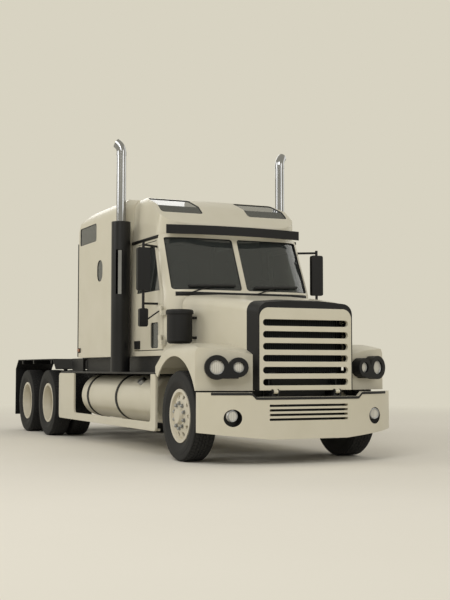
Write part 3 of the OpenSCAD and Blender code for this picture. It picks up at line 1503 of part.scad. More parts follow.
// Disc outline from hub to rim, bolted at one distance and meeting the rim at another
module disc_section(at_hub, at_rim, way = 1) {
  seat_r = rim_r - rim_lip + rim_t / 4;
  outline = [[hub_r - rim_lip, at_hub - disc_t / 2], [hub_r, at_hub - disc_t / 2],
    [seat_r, at_rim - disc_t / 2],
    [seat_r, at_rim + disc_t], [hub_r, at_hub + disc_t], [hub_r - rim_lip, at_hub + disc_t]];
  polygon(way > 0 ? outline : [for (k = [len(outline) - 1 : -1 : 0]) [outline[k][0], -outline[k][1]]]);
}
module hand_hole_cuts(y0, y1) {
  for (k = [0 : hand_holes - 1]) rotate([0, 360 * k / hand_holes, 0])
    bar_y(hand_hole_pcd_r, 0, hand_hole_r, y0, y1);
}
front_hub_in = web_y + yoke_web + hub_yoke_gap - front_track / 2;
// A front wheel, drawn for the left side with its middle at the tyre's middle
module front_wheel_form() {
  difference() {
    spin_y(0, 0) {
      rim_section();
      disc_section(disc_offset, rim_w / 4);
      polygon([[knuckle_spindle_r + pin_gap, front_hub_in], [hub_neck_r, front_hub_in], [hub_neck_r, 0],
        [hub_r, disc_offset - disc_t], [hub_r, disc_offset + disc_t], [hub_cap_r, disc_offset + disc_t],
        [hub_cap_r - rim_t, disc_offset + hub_cap_h], [0, disc_offset + hub_cap_h],
        [0, spindle_reach + seat_gap], [knuckle_spindle_r + pin_gap, spindle_reach + seat_gap]]);
      polygon([[hub_neck_r - rim_t, 0], [drum_r - rim_t, 0], [drum_r - rim_t, front_hub_in],
        [drum_r, front_hub_in],
        [drum_r, rim_t], [hub_neck_r - rim_t, rim_t]]);
    }
    hand_hole_cuts(rim_t + 2 * disc_t, rim_w);
  }
}
module front_wheel(side) {
  color("#d8d4c8") translate([x_steer, side * front_track / 2, axle_z]) mirror([0, side > 0 ? 0 : 1, 0])
    front_wheel_form();
}
// Drive wheels: two rims back to back on one hub, with the drum inside the inner rim
drive_hub_in = -twin_spacing / 2 - drum_w / 2;
axle_flange_r = 118;
axle_flange_out = 150;
drive_bore_end = spindle_y - drive_track / 2 + seat_gap;
module drive_wheel_form() {
  drum_in = -3 * disc_t - rim_t;
  difference() {
    union() {
      for (k = [1, -1]) {
        translate([0, k * twin_spacing / 2, 0]) spin_y(0, 0) rim_section();
        spin_y(0, 0) disc_section(disc_t, twin_spacing / 2 - rim_w / 4, k);
      }
      spin_y(0, 0) polygon([[spindle_r + pin_gap, drive_hub_in], [hub_neck_r, drive_hub_in],
        [hub_neck_r, -drive_hub_half], [hub_r, -drive_hub_half], [hub_r, drive_hub_half],
        [axle_flange_r, drive_hub_half], [axle_flange_r, axle_flange_out],
        [axle_flange_r - rim_lip, axle_flange_out + rim_t], [0, axle_flange_out + rim_t],
        [0, drive_bore_end], [spindle_r + pin_gap, drive_bore_end]]);
      spin_y(0, 0) polygon([[hub_neck_r - rim_t, drum_in], [drum_r - rim_t, drum_in],
        [drum_r - rim_t, drive_hub_in],
        [drum_r, drive_hub_in], [drum_r, drum_in + rim_t], [hub_neck_r - rim_t, drum_in + rim_t]]);
    }
    hand_hole_cuts(disc_t, twin_spacing / 2);
  }
}
module drive_wheels(axle, side) {
  color("#d8d4c8") translate([x_drive[axle], side * drive_track / 2, axle_z]) mirror([0, side > 0 ? 0 : 1, 0])
    drive_wheel_form();
}

// Tyres: one revolved section with bead, bulged wall, shoulder and grooved tread
tread_share = 0.78;
groove_w = 12;
groove_h = 14;
groove_shares = [-0.55, -0.18, 0.18, 0.55];
shoulder_drop = 16;
bulge_share = 0.52;
bead_w = 200;
module tyre_section() {
  h = tyre_w / 2;
  tread = tread_share * h;
  bead = rim_r + seat_gap;
  wall_r = bead + bulge_share * (tyre_r - bead);
  difference() {
    polygon([[bead, -bead_w / 2 + rim_lip], [bead + rim_lip, -bead_w / 2], [wall_r, -h],
      [tyre_r - 2 * shoulder_drop, -h + shoulder_drop / 2],
      [tyre_r - shoulder_drop / 2, -tread - shoulder_drop / 2], [tyre_r, -tread + shoulder_drop / 2],
      [tyre_r, tread - shoulder_drop / 2], [tyre_r - shoulder_drop / 2, tread + shoulder_drop / 2],
      [tyre_r - 2 * shoulder_drop, h - shoulder_drop / 2], [wall_r, h],
      [bead + rim_lip, bead_w / 2], [bead, bead_w / 2 - rim_lip]]);
    for (f = groove_shares) translate([tyre_r - groove_h, f * tread - groove_w / 2])
      square([groove_h + over, groove_w]);
  }
}
module tyre_at(x, y) {
  color("#1c1c1d") translate([0, y, 0]) spin_y(x, axle_z) tyre_section();
}
module drive_tyres(axle, side) {
  for (k = [1, -1]) tyre_at(x_drive[axle], side * drive_track / 2 + k * twin_spacing / 2);
}

frame_rails();
engine_block();
radiator();
front_axle_beam();
suspension();
drive_axles();
prop_shafts();
fuel_tanks();
tank_straps();
chassis_fairings();
step_plates();
rear_mudguards();
rear_lamps();
bumper();
fog_lamps();
cab_shell();
cab_roof();
sleeper_shell();
fixed_glass();
sun_visor();
exhaust_stacks();
heat_shields();
dashboard();
seats();
bunk();
fifth_wheel_base();
fifth_wheel_plate();
hood_shell();
grille();
grille_surround();
headlamp_pods();
headlamp_lenses();
air_cleaners();
door(LEFT);  // door_left
door(RIGHT);  // door_right
door_glass(LEFT);  // door_glass_left
door_glass(RIGHT);  // door_glass_right
mirror_assembly(LEFT);  // mirror_left
mirror_assembly(RIGHT);  // mirror_right
knuckle(LEFT);  // knuckle_left
knuckle(RIGHT);  // knuckle_right
tie_rod();
front_wheel(LEFT);  // front_wheel_left
front_wheel(RIGHT);  // front_wheel_right
tyre_at(x_steer, LEFT * front_track / 2);  // front_tyre_left
tyre_at(x_steer, RIGHT * front_track / 2);  // front_tyre_right
drive_wheels(0, LEFT);  // drive_wheels_1_left
drive_wheels(0, RIGHT);  // drive_wheels_1_right
drive_wheels(1, LEFT);  // drive_wheels_2_left
drive_wheels(1, RIGHT);  // drive_wheels_2_right
drive_tyres(0, LEFT);  // drive_tyres_1_left
drive_tyres(0, RIGHT);  // drive_tyres_1_right
drive_tyres(1, LEFT);  // drive_tyres_2_left
drive_tyres(1, RIGHT);  // drive_tyres_2_right
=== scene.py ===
import json
import math

import bmesh
import bpy
from mathutils import Matrix, Vector
from mathutils.bvhtree import BVHTree


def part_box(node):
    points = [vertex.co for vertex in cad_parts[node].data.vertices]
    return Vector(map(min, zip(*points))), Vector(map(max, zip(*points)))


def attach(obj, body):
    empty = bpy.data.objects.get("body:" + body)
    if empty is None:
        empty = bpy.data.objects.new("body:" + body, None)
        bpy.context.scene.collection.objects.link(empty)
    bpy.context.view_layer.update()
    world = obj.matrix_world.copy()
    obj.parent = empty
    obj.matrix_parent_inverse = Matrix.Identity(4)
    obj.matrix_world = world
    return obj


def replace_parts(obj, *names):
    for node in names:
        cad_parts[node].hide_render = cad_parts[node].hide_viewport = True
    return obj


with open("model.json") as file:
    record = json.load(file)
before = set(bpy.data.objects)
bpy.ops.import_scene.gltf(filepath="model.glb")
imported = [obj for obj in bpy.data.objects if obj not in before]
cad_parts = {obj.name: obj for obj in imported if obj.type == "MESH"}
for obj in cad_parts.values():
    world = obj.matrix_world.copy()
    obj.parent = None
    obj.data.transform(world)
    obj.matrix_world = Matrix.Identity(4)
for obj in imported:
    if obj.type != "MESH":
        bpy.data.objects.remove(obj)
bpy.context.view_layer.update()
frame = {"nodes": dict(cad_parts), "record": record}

# Studio: a plain pale floor that runs into a backdrop of the same tone, soft boxes all round, and a long
# lens about a metre up off the vehicle's right front corner, at the picture's viewing angle.
picture_width_px = 450
focal_px = 1089.65
view_yaw = math.radians(24.463)
view_pitch = math.radians(3.592)
axle_to_camera = Vector((11.554, -5.826, 1.054))
sight_limit = 500.0
floor_reach = 220.0
floor_fade = (5.5, 17.0)
floor_patches_per_m = 0.4
backdrop_hex = "#D8D3C2"

front_axle_x = sum(corner.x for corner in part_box("front_axle_beam")) / 2
camera = bpy.data.objects.new("camera", bpy.data.cameras.new("camera"))
bpy.context.scene.collection.objects.link(camera)
camera.data.sensor_fit = "HORIZONTAL"
camera.data.sensor_width = 36.0
camera.data.lens = camera.data.sensor_width * focal_px / picture_width_px
camera.data.clip_end = sight_limit
camera.location = axle_to_camera + Vector((front_axle_x, 0, 0))
level = Vector((-math.cos(view_yaw), math.sin(view_yaw), 0)) * math.cos(view_pitch)
look = level + Vector((0, 0, math.sin(view_pitch)))
camera.rotation_euler = look.to_track_quat("-Z", "Y").to_euler()
bpy.context.scene.camera = camera
bpy.context.scene.view_settings.view_transform = "Standard"


def paint_rgb(hex_colour):
    """An sRGB hex colour as linear RGBA."""
    channels = [int(hex_colour[i:i + 2], 16) / 255 for i in (1, 3, 5)]
    return (*[c / 12.92 if c <= 0.04045 else ((c + 0.055) / 1.055) ** 2.4 for c in channels], 1.0)


def add(tree, kind, sockets=None, **settings):
    """A node of that kind in the tree: sockets holds values or outputs to link, settings its own options."""
    node = tree.nodes.new("ShaderNode" + kind)
    for name, value in settings.items():
        setattr(node, name, value)
    for name, value in (sockets or {}).items():
        if isinstance(value, bpy.types.NodeSocket):
            tree.links.new(value, node.inputs[name])
        else:
            node.inputs[name].default_value = value
    return node


def new_finish(name, **constants):
    """A material with its shader's constant sockets set, its tree, its shader and its object coordinates."""
    material = bpy.data.materials.new(name)
    material.use_nodes = True
    tree = material.node_tree
    shader = tree.nodes["Principled BSDF"]
    for socket, value in constants.items():
        shader.inputs[socket.replace("_", " ")].default_value = value
    return material, tree, shader, add(tree, "TexCoord").outputs["Object"]


# Matt studio paint: even and pale with a faint roller mottle; far off it glows in the backdrop's own tone,
# so that no horizon shows.
studio_paint, tree, shader, place = new_finish("studio_wall_paint", Roughness=0.95, Specular_IOR_Level=0.1)
mottle = add(tree, "TexNoise", {"Vector": place, "Scale": floor_patches_per_m, "Detail": 3.0})
tone = add(tree, "Mix", {0: mottle.outputs["Fac"], 6: paint_rgb("#E9E4D6"), 7: paint_rgb("#EFEADD")},
    data_type="RGBA")
tree.links.new(tone.outputs[2], shader.inputs["Base Color"])
radius = add(tree, "VectorMath", {0: place}, operation="LENGTH")
far = add(tree, "MapRange", {"Value": radius.outputs["Value"], "From Min": floor_fade[0],
    "From Max": floor_fade[1]}, interpolation_type="SMOOTHSTEP")
glow = add(tree, "Emission", {"Color": paint_rgb(backdrop_hex)})
fade = add(tree, "MixShader", {0: far.outputs["Result"], 1: shader.outputs[0], 2: glow.outputs[0]})
tree.links.new(fade.outputs[0], tree.nodes["Material Output"].inputs["Surface"])
floor_mesh = bpy.data.meshes.new("studio_floor")
floor_corners = ((-1, -1, 0), (1, -1, 0), (1, 1, 0), (-1, 1, 0))
floor_mesh.from_pydata([Vector(c) * floor_reach for c in floor_corners], [], [(0, 1, 2, 3)])
floor = bpy.data.objects.new("studio_floor", floor_mesh)
floor_mesh.materials.append(studio_paint)
bpy.context.scene.collection.objects.link(floor)

world = bpy.data.worlds.new("studio")
world.use_nodes = True
bpy.context.scene.world = world
tree = world.node_tree
rays = add(tree, "LightPath")
seen = add(tree, "Math", {0: rays.outputs["Is Camera Ray"], 1: rays.outputs["Is Transmission Ray"]},
    operation="MAXIMUM")
seen = add(tree, "Math", {0: seen.outputs[0], 1: rays.outputs["Is Glossy Ray"]}, operation="MAXIMUM")
sky = add(tree, "Background", {"Color": paint_rgb("#F2EEE6"), "Strength": 0.42})
backdrop = add(tree, "Background", {"Color": paint_rgb(backdrop_hex)})
both = add(tree, "MixShader", {0: seen.outputs[0], 1: sky.outputs[0], 2: backdrop.outputs[0]})
tree.links.new(both.outputs[0], tree.nodes["World Output"].inputs["Surface"])
# Soft boxes: place, size and power of each, all aimed at the cab
soft_box_aim = Vector((0.5, 0, 1.5))
for name, spot, size, power in (("key", (13, -9, 11), 7.0, 900), ("side", (-2, -15, 9), 8.0, 640),
        ("front", (16, 6, 7), 6.0, 260), ("far_side", (0, 14, 9), 9.0, 300),
        ("back", (-13, 2, 10), 8.0, 300)):
    lamp = bpy.data.lights.new(name, "AREA")
    lamp.size = size
    lamp.energy = power
    lamp_object = bpy.data.objects.new(name, lamp)
    lamp_object.location = spot
    lamp_object.rotation_euler = (soft_box_aim - Vector(spot)).to_track_quat("-Z", "Y").to_euler()
    bpy.context.scene.collection.objects.link(lamp_object)

# Chassis: pressed steel rails and cross members, forged axle beam, springs and axle housings, all sprayed
# in black chassis enamel; cross members are bolted through the rails' webs.
bodies = frame["record"]["behaviour"]["bodies"]
body_of_node = {node: body for body, nodes in bodies.items() for node in nodes}
slot_of_node = {part["node"]: part["material_slot"] for part in frame["record"]["subparts"]}
weld_gap = 0.00005
flat_deg = 0.6
crease_deg = 32.0
patches_per_m = 2.2
# A bolt head from washer to dome: foot and top radius as shares of its width across flats, low and high as
# shares of its height, and number of sides
bolt_stages = ((0.7, 0.7, -0.1, 0.15, 18), (0.577, 0.577, 0.15, 0.72, 6), (0.48, 0.26, 0.72, 1.0, 12))


def seat_piece(name, mesh, body, slot, *materials):
    """Puts a mesh in the scene with its materials and on a body; slot is not used."""
    for material in materials:
        mesh.materials.append(material)
    piece = bpy.data.objects.new(name, mesh)
    bpy.context.scene.collection.objects.link(piece)
    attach(piece, body)
    return piece


def smooth_mesh(name, bm, sharp_deg=crease_deg, turn_out=True):
    """A mesh from bm, its faces turned outward, shaded smooth but for edges sharper than sharp_deg."""
    if turn_out:
        bmesh.ops.recalc_face_normals(bm, faces=bm.faces)
    mesh = bpy.data.meshes.new(name)
    bm.to_mesh(mesh)
    bm.free()
    mesh.polygons.foreach_set("use_smooth", [True] * len(mesh.polygons))
    mesh.set_sharp_from_angle(angle=math.radians(sharp_deg))
    return mesh


def dress(node, material, edge_mm, other=None, where=None):
    """The CAD node's faces with sharp edges rolled over; faces that pass where take the other finish."""
    bm = bmesh.new()
    bm.from_mesh(frame["nodes"][node].data)
    bmesh.ops.remove_doubles(bm, verts=bm.verts, dist=weld_gap)
    bmesh.ops.dissolve_limit(bm, angle_limit=math.radians(flat_deg), verts=bm.verts, edges=bm.edges)
    crease = math.radians(crease_deg)
    sharp = [e for e in bm.edges if len(e.link_faces) == 2 and e.calc_face_angle(0) > crease]
    if edge_mm:
        bmesh.ops.bevel(bm, geom=sharp, offset=edge_mm / 1000, segments=2, profile=0.6, affect="EDGES",
            clamp_overlap=True)
    for face in bm.faces:
        face.material_index = 1 if where and where(face) else 0
    mesh = smooth_mesh(node + "_skin", bm, turn_out=False)
    finishes = (material, other) if other else (material,)
    piece = seat_piece(node + "_skin", mesh, body_of_node[node], slot_of_node[node], *finishes)
    piece.modifiers.new("flat_panels", "WEIGHTED_NORMAL").keep_sharp = True
    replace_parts(piece, node)


def mottled(name, dark, light, grain_mm, rough, bump, **constants):
    """A finish whose colour and gloss drift between two values in patches, with a fine grain in relief."""
    material, tree, shader, place = new_finish(name, **constants)
    patch = add(tree, "TexNoise", {"Vector": place, "Scale": patches_per_m, "Detail": 5.0})
    drift = add(tree, "MapRange", {"Value": patch.outputs["Fac"], "From Min": 0.3, "From Max": 0.7})
    tone = add(tree, "Mix", {0: drift.outputs["Result"], 6: paint_rgb(dark), 7: paint_rgb(light)},
        data_type="RGBA")
    tree.links.new(tone.outputs[2], shader.inputs["Base Color"])
    gloss = add(tree, "MapRange", {"Value": patch.outputs["Fac"], "To Min": rough[0], "To Max": rough[1]})
    tree.links.new(gloss.outputs["Result"], shader.inputs["Roughness"])
    grain = add(tree, "TexNoise", {"Vector": place, "Scale": 1000.0 / grain_mm, "Detail": 2.0})
    relief = add(tree, "Bump", {"Height": grain.outputs["Fac"], "Strength": bump, "Distance": 0.001})
    tree.links.new(relief.outputs["Normal"], shader.inputs["Normal"])
    return material


def hex_heads(name, body, slot, finish, places, across, height):
    """Domed hexagon heads on flat washers, one for each foot point and outward direction."""
    bm = bmesh.new()
    for foot, outward in places:
        turn = Vector((0, 0, 1)).rotation_difference(outward).to_matrix().to_4x4()
        for foot_share, top_share, low, high, sides in bolt_stages:
            bmesh.ops.create_cone(bm, cap_ends=True, segments=sides, radius1=foot_share * across,
                radius2=top_share * across, depth=(high - low) * height, matrix=Matrix.Translation(foot)
                @ turn @ Matrix.Translation((0, 0, (low + high) / 2 * height)))
    seat_piece(name, smooth_mesh(name, bm), body, slot, finish)


# Chassis enamel: black, half gloss, a little dusty in patches.
chassis_enamel = mottled("chassis_enamel", "#121213", "#1C1C1D", grain_mm=6.0, rough=(0.42, 0.58), bump=0.12)
# Cast iron under thin grey paint: grainy and dull.
painted_iron = mottled("painted_cast_iron", "#303336", "#42464A", grain_mm=3.0, rough=(0.5, 0.7), bump=0.3)
# Zinc-plated steel: pale grey metal, satin, for nuts, bolts and caps.
zinc_plate = mottled("zinc_plated_steel", "#8E9092", "#B4B6B8", grain_mm=2.0, rough=(0.28, 0.42), bump=0.1,
    Metallic=1.0)
for node in ("frame_rails", "front_axle_beam", "drive_axles", "prop_shafts", "knuckle_left", "knuckle_right",
        "tie_rod"):
    dress(node, chassis_enamel, edge_mm=3.0)
for node in ("suspension", "fifth_wheel_base"):
    dress(node, chassis_enamel, edge_mm=2.0)
dress("engine_block", painted_iron, edge_mm=14.0)
# Bolt groups along each rail's outer face, where cross members, springs and axle arms are fixed
rail_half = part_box("frame_rails")[1].y
rail_bolt_across = 0.024
rail_bolt_height = 0.016
bolt_levels = (0.82, 0.93)
bolt_stations = (-3.4, -3.05, -2.95, -2.2, -1.75, -1.65, -1.15, -1.05)
hex_heads("rail_bolts", "chassis", "chassis_paint", zinc_plate,
    [(Vector((x, side * rail_half, z)), Vector((0, side, 0))) for x in bolt_stations for z in bolt_levels
        for side in (1, -1)], rail_bolt_across, rail_bolt_height)

# Radiator: an aluminium core of thin fins in a steel frame, behind the grille, with an air dam of black
# rubber sheets hung under it and outside each rail, so that air passes only through the core.
# Fin stock: dark bare aluminium in upright bands of colour only, painted sheen on the fin edges and painted
# shade in the gaps between fins; the fins, about 2 mm apart on a real core, are drawn 24 mm apart so that
# they hold at this distance.
fin_stock, tree, shader, place = new_finish("aluminium_fin_stock", Metallic=0.85, Roughness=0.5)
fin_pitch_mm = 24.0
# At scale 1 a wave node's bands are this far apart
wave_pitch_mm = 1000.0 * math.pi / 10
# Upright bands: lighter for painted sheen on the fin edges, darker for painted shade between the fins
fin_sheen_and_shade = add(tree, "TexWave", {"Vector": place, "Scale": wave_pitch_mm / fin_pitch_mm}, bands_direction="Y")
tone = add(tree, "Mix", {0: fin_sheen_and_shade.outputs["Fac"], 6: paint_rgb("#08090A"), 7: paint_rgb("#26282A")},
    data_type="RGBA")
tree.links.new(tone.outputs[2], shader.inputs["Base Color"])
dress("radiator", fin_stock, edge_mm=4.0)
# Seal rubber: soft black, quite dull.
seal_rubber = mottled("black_seal_rubber", "#0B0B0B", "#121212", grain_mm=5.0, rough=(0.6, 0.75), bump=0.1)
forward = Vector((1, 0, 0))
leftward = Vector((0, 1, 0))
up = Vector((0, 0, 1))
# A moulding's section: shares of its width, and of its thickness above the face it lies on
moulding_section = ((-0.5, -0.5), (-0.5, 0.4), (-0.42, 0.85), (-0.25, 1.0), (0.25, 1.0), (0.42, 0.85),
    (0.5, 0.4), (0.5, -0.5))
moulding_crease_deg = 50.0


def moulding(name, body, points, across, outward, width, thick, finish, slot="dark_trim"):
    """A rounded strip through points, its width along across and its face toward outward."""
    bm = bmesh.new()
    rows = [[bm.verts.new(p + across * (u * width) + outward * (v * thick)) for u, v in moulding_section]
        for p in points]
    for here, there in zip(rows, rows[1:]):
        for i in range(len(here)):
            j = (i + 1) % len(here)
            bm.faces.new((here[i], here[j], there[j], there[i]))
    bm.faces.new(rows[0])
    bm.faces.new(rows[-1])
    seat_piece(name, smooth_mesh(name, bm, moulding_crease_deg), body, slot, finish)


core_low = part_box("radiator")[0]
dam_set_in = 0.03
dam_foot = 0.46
dam_lap = 0.01
dam_side_top = 1.55
dam_hem = 0.02
dam_thick = 0.006
for name, y0, y1, top in (("air_dam_middle", -0.34, 0.34, core_low.z + dam_lap),
        ("air_dam_left", 0.44, 0.56, dam_side_top), ("air_dam_right", -0.56, -0.44, dam_side_top)):
    levels = (dam_foot, dam_foot + dam_hem, top - dam_hem, top)
    run = [Vector((core_low.x + dam_set_in, (y0 + y1) / 2, z)) for z in levels]
    moulding(name, "chassis", run, leftward, forward, y1 - y0, dam_thick, seal_rubber)

# Road wheels: rolled steel rims with pressed discs, powder-coated in the body's cream, on cast hubs with a
# ring of wheel nuts; the drive axles carry them in pairs behind a studded axle flange.
# Powder coat: cream, slightly pebbled, softer than the body enamel.
wheel_coat = mottled("cream_powder_coat", "#C6BFAB", "#D2CBB9", grain_mm=5.0, rough=(0.35, 0.5), bump=0.15)
nut_count = 10
nut_ring = 0.143
nut_across = 0.036
nut_height = 0.034
flange_stud_count = 8
flange_stud_ring = 0.075
flange_stud_across = 0.022
flange_stud_height = 0.016
wheel_probe = 1.0


def skin_of(*nodes):
    """Search trees of CAD nodes, to lay pieces on their faces."""
    trees = []
    for node in nodes:
        mesh = frame["nodes"][node].data
        spots = [v.co for v in mesh.vertices]
        trees.append(BVHTree.FromPolygons(spots, [p.vertices for p in mesh.polygons]))
    return trees


def laid_on(skins, start, direction, lift=0.0):
    """The first point on the skins from a start along a direction, lifted back toward the start."""
    hits = [skin.ray_cast(start, direction) for skin in skins]
    near = min((hit for hit in hits if hit[0]), key=lambda hit: hit[3])
    return near[0] - direction * lift


def outer_face_ring(node, middle, outward, ring, count):
    """Foot points and directions round a ring on the wheel's outer face."""
    skins = skin_of(node)
    places = []
    for k in range(count):
        turn = 2 * math.pi * (k + 0.5) / count
        spoke = Vector((ring * math.cos(turn), 0, ring * math.sin(turn)))
        places.append((laid_on(skins, middle + spoke + outward * wheel_probe, -outward), outward))
    return places


for node in [n for n in slot_of_node if slot_of_node[n] == "wheel_alloy"]:
    dress(node, wheel_coat, edge_mm=2.0)
    low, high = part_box(node)
    middle = (low + high) / 2
    outward = leftward if middle.y > 0 else -leftward
    hex_heads(node + "_nuts", body_of_node[node], "wheel_alloy", zinc_plate,
        outer_face_ring(node, middle, outward, nut_ring, nut_count), nut_across, nut_height)
    if "drive" in node:
        hex_heads(node + "_studs", body_of_node[node], "wheel_alloy", zinc_plate,
            outer_face_ring(node, middle, outward, flange_stud_ring, flange_stud_count),
            flange_stud_across, flange_stud_height)

# Tyres: ribbed road tyres of black rubber. Each is a revolved carcass with rings of tread blocks, cut across
# by narrow sipes, and plain raised bands on the sidewall.
# Tyre rubber: near black, dull, dusted grey in patches.
tyre_rubber = mottled("tyre_rubber", "#141414", "#1F1F1E", grain_mm=4.0, rough=(0.74, 0.9), bump=0.25)
tyre_low, tyre_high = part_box("front_tyre_left")
tyre_radius = (tyre_high.z - tyre_low.z) / 2
tyre_width = tyre_high.y - tyre_low.y
bead_radius = 0.2863
carcass_steps = 96
# Carcass outline: share of the half width, and height above the bead as a share of the wall
carcass_outline = ((0.62, 0.0), (0.72, 0.06), (0.75, 0.12), (0.8, 0.16), (0.9, 0.3), (0.965, 0.42),
    (0.97, 0.43), (0.985, 0.44), (1.0, 0.5), (1.0, 0.6), (0.985, 0.68), (0.97, 0.69), (0.97, 0.74),
    (0.955, 0.86), (0.93, 0.92), (0.86, 0.955))
# Tread ribs: middle and half width, as shares of the half width
tread_ribs = ((0.0, 0.115), (0.285, 0.125), (-0.285, 0.125), (0.62, 0.17), (-0.62, 0.17))
tread_depth = 0.014
tread_floor_share = 0.8
tread_crown = 0.006
blocks_round = 64
block_root = 0.004
block_share = 0.88
block_skew = 0.012
rib_stagger = 0.35


def build_tyre(bm, middle):
    """Adds one tyre about a middle point to bm."""
    half = tyre_width / 2
    wall = tyre_radius - bead_radius
    outline = [(half * u, bead_radius + wall * v) for u, v in carcass_outline]
    outline.append((half * tread_floor_share, tyre_radius - tread_depth))
    outline += [(-y, r) for y, r in reversed(outline)]
    rings = []
    for k in range(carcass_steps):
        turn = 2 * math.pi * k / carcass_steps
        rings.append([bm.verts.new(middle + Vector((r * math.cos(turn), y, r * math.sin(turn))))
            for y, r in outline])
    for k in range(carcass_steps):
        here, there = rings[k], rings[(k + 1) % carcass_steps]
        for i in range(len(outline)):
            j = (i + 1) % len(outline)
            bm.faces.new((here[i], here[j], there[j], there[i]))
    for rib, (at, wide) in enumerate(tread_ribs):
        for k in range(blocks_round):
            start = 2 * math.pi * (k + rib_stagger * (rib % 3)) / blocks_round
            end = start + 2 * math.pi / blocks_round * block_share
            skew = block_skew if rib % 2 else -block_skew
            corners = []
            for r in (tyre_radius - tread_depth - block_root, tyre_radius):
                for y, turn in ((at - wide, start - skew), (at + wide, start + skew),
                        (at + wide, end + skew), (at - wide, end - skew)):
                    crowned = r - (tread_crown * abs(y) ** 3 if r == tyre_radius else 0)
                    spot = Vector((crowned * math.cos(turn), half * y, crowned * math.sin(turn)))
                    corners.append(bm.verts.new(middle + spot))
            for quad in ((4, 5, 6, 7), (3, 2, 1, 0), (0, 1, 5, 4), (1, 2, 6, 5), (2, 3, 7, 6), (3, 0, 4, 7)):
                bm.faces.new([corners[i] for i in quad])


for node in [n for n in slot_of_node if slot_of_node[n] == "tyre_rubber"]:
    low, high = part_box(node)
    spread = (high.y - low.y - tyre_width) / 2
    bm = bmesh.new()
    for offset in ((-spread, spread) if spread > tyre_width / 4 else (0,)):
        build_tyre(bm, (low + high) / 2 + Vector((0, offset, 0)))
    mesh = smooth_mesh(node + "_tread", bm)
    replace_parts(seat_piece(node + "_tread", mesh, body_of_node[node], "tyre_rubber", tyre_rubber), node)

# Fuel tanks and chassis panels: rolled aluminium tanks painted cream with a plated filler cap, black straps,
# moulded side panels in body enamel, and black chequered tread plate on top.
# Body enamel: cream two-pack paint under clear coat; near-flat colour, soft reflections, faint orange peel.
body_enamel = mottled("cream_body_enamel", "#CBC5B0", "#D1CBB8", grain_mm=14.0, rough=(0.32, 0.4), bump=0.03,
    Coat_Weight=0.3, Coat_Roughness=0.12)
# Black moulded trim: fine-grained plastic with a dull sheen.
black_trim = mottled("black_moulded_plastic", "#0A0A0B", "#101011", grain_mm=2.5, rough=(0.45, 0.58),
    bump=0.18, Specular_IOR_Level=0.3)
# Tread plate: black-painted aluminium with a raised lozenge pattern 28 mm apart.
tread_plate, tree, shader, place = new_finish("black_tread_plate", Roughness=0.5)
lozenge_mm = 28.0
lozenges = add(tree, "TexVoronoi", {"Vector": place, "Scale": 1000.0 / lozenge_mm, "Randomness": 0.0},
    feature="F1", distance="MANHATTAN")
raised = add(tree, "MapRange", {"Value": lozenges.outputs["Distance"], "From Min": 0.42, "From Max": 0.25})
tone = add(tree, "Mix", {0: raised.outputs["Result"], 6: paint_rgb("#0E0E0F"), 7: paint_rgb("#1E1E1F")},
    data_type="RGBA")
tree.links.new(tone.outputs[2], shader.inputs["Base Color"])
relief = add(tree, "Bump", {"Height": raised.outputs["Result"], "Strength": 0.5, "Distance": 0.002})
tree.links.new(relief.outputs["Normal"], shader.inputs["Normal"])
tank_radius = 0.3
tank_offset = 0.83
tank_axis_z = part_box("fuel_tanks")[0].z + tank_radius
cap_proud = 0.012
cap_margin = 0.004


def off_axis(spot):
    """Distance of a point from the nearer tank's axis."""
    return math.hypot(abs(spot.y) - tank_offset, spot.z - tank_axis_z)


tank_points = [v.co for v in frame["nodes"]["fuel_tanks"].data.vertices]
proud_x = [spot.x for spot in tank_points if off_axis(spot) > tank_radius + cap_proud]
cap_low, cap_high = min(proud_x) - cap_margin, max(proud_x) + cap_margin
dress("fuel_tanks", body_enamel, edge_mm=3.0, other=zinc_plate, where=lambda f: all(
    cap_low < v.co.x < cap_high and off_axis(v.co) > tank_radius - cap_margin for v in f.verts))
dress("tank_straps", black_trim, edge_mm=1.5)
dress("chassis_fairings", body_enamel, edge_mm=5.0)
dress("step_plates", tread_plate, edge_mm=3.0)
dress("rear_mudguards", black_trim, edge_mm=3.0)

# Bumper: one deep steel pressing in body enamel on two brackets, with slots to the cooler and a lamp bowl in
# each end, its inside black as painted shade of the recess, seen as a dark crescent under each lamp; plated
# rings hold the lamps, and a black rubber strip runs along its top edge as painted shade of the gap under
# the hood.
lens_low, lens_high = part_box("fog_lamps")
lens_lift = 0.022
bowl_radius = 0.1
bowl_y = lens_high.y - (lens_high.z - lens_low.z) / 2
bowl_z = (lens_low.z + lens_high.z) / 2 - lens_lift
# Faces inside each lamp bowl, set lens_lift below the lens, take black trim: painted shade of the recess
dress("bumper", body_enamel, edge_mm=5.0, other=black_trim,
    where=lambda f: all(math.hypot(abs(v.co.y) - bowl_y, v.co.z - bowl_z) < bowl_radius for v in f.verts))
# Pressed lamp buckets close the bowls from behind, black like the bowls as painted shade of the recess
bucket_depth = 0.05
bucket_rear_share = 0.7
bucket_gap = 0.0005
bm = bmesh.new()
for sign in (1, -1):
    spot = Matrix.Translation((lens_low.x - bucket_gap - bucket_depth / 2, sign * bowl_y, bowl_z))
    bmesh.ops.create_cone(bm, cap_ends=True, segments=40, radius1=bowl_radius * bucket_rear_share,
        radius2=bowl_radius, depth=bucket_depth, matrix=spot @ Matrix.Rotation(math.pi / 2, 4, "Y"))
seat_piece("fog_lamp_buckets", smooth_mesh("fog_lamp_buckets", bm), "chassis", "dark_trim", black_trim)
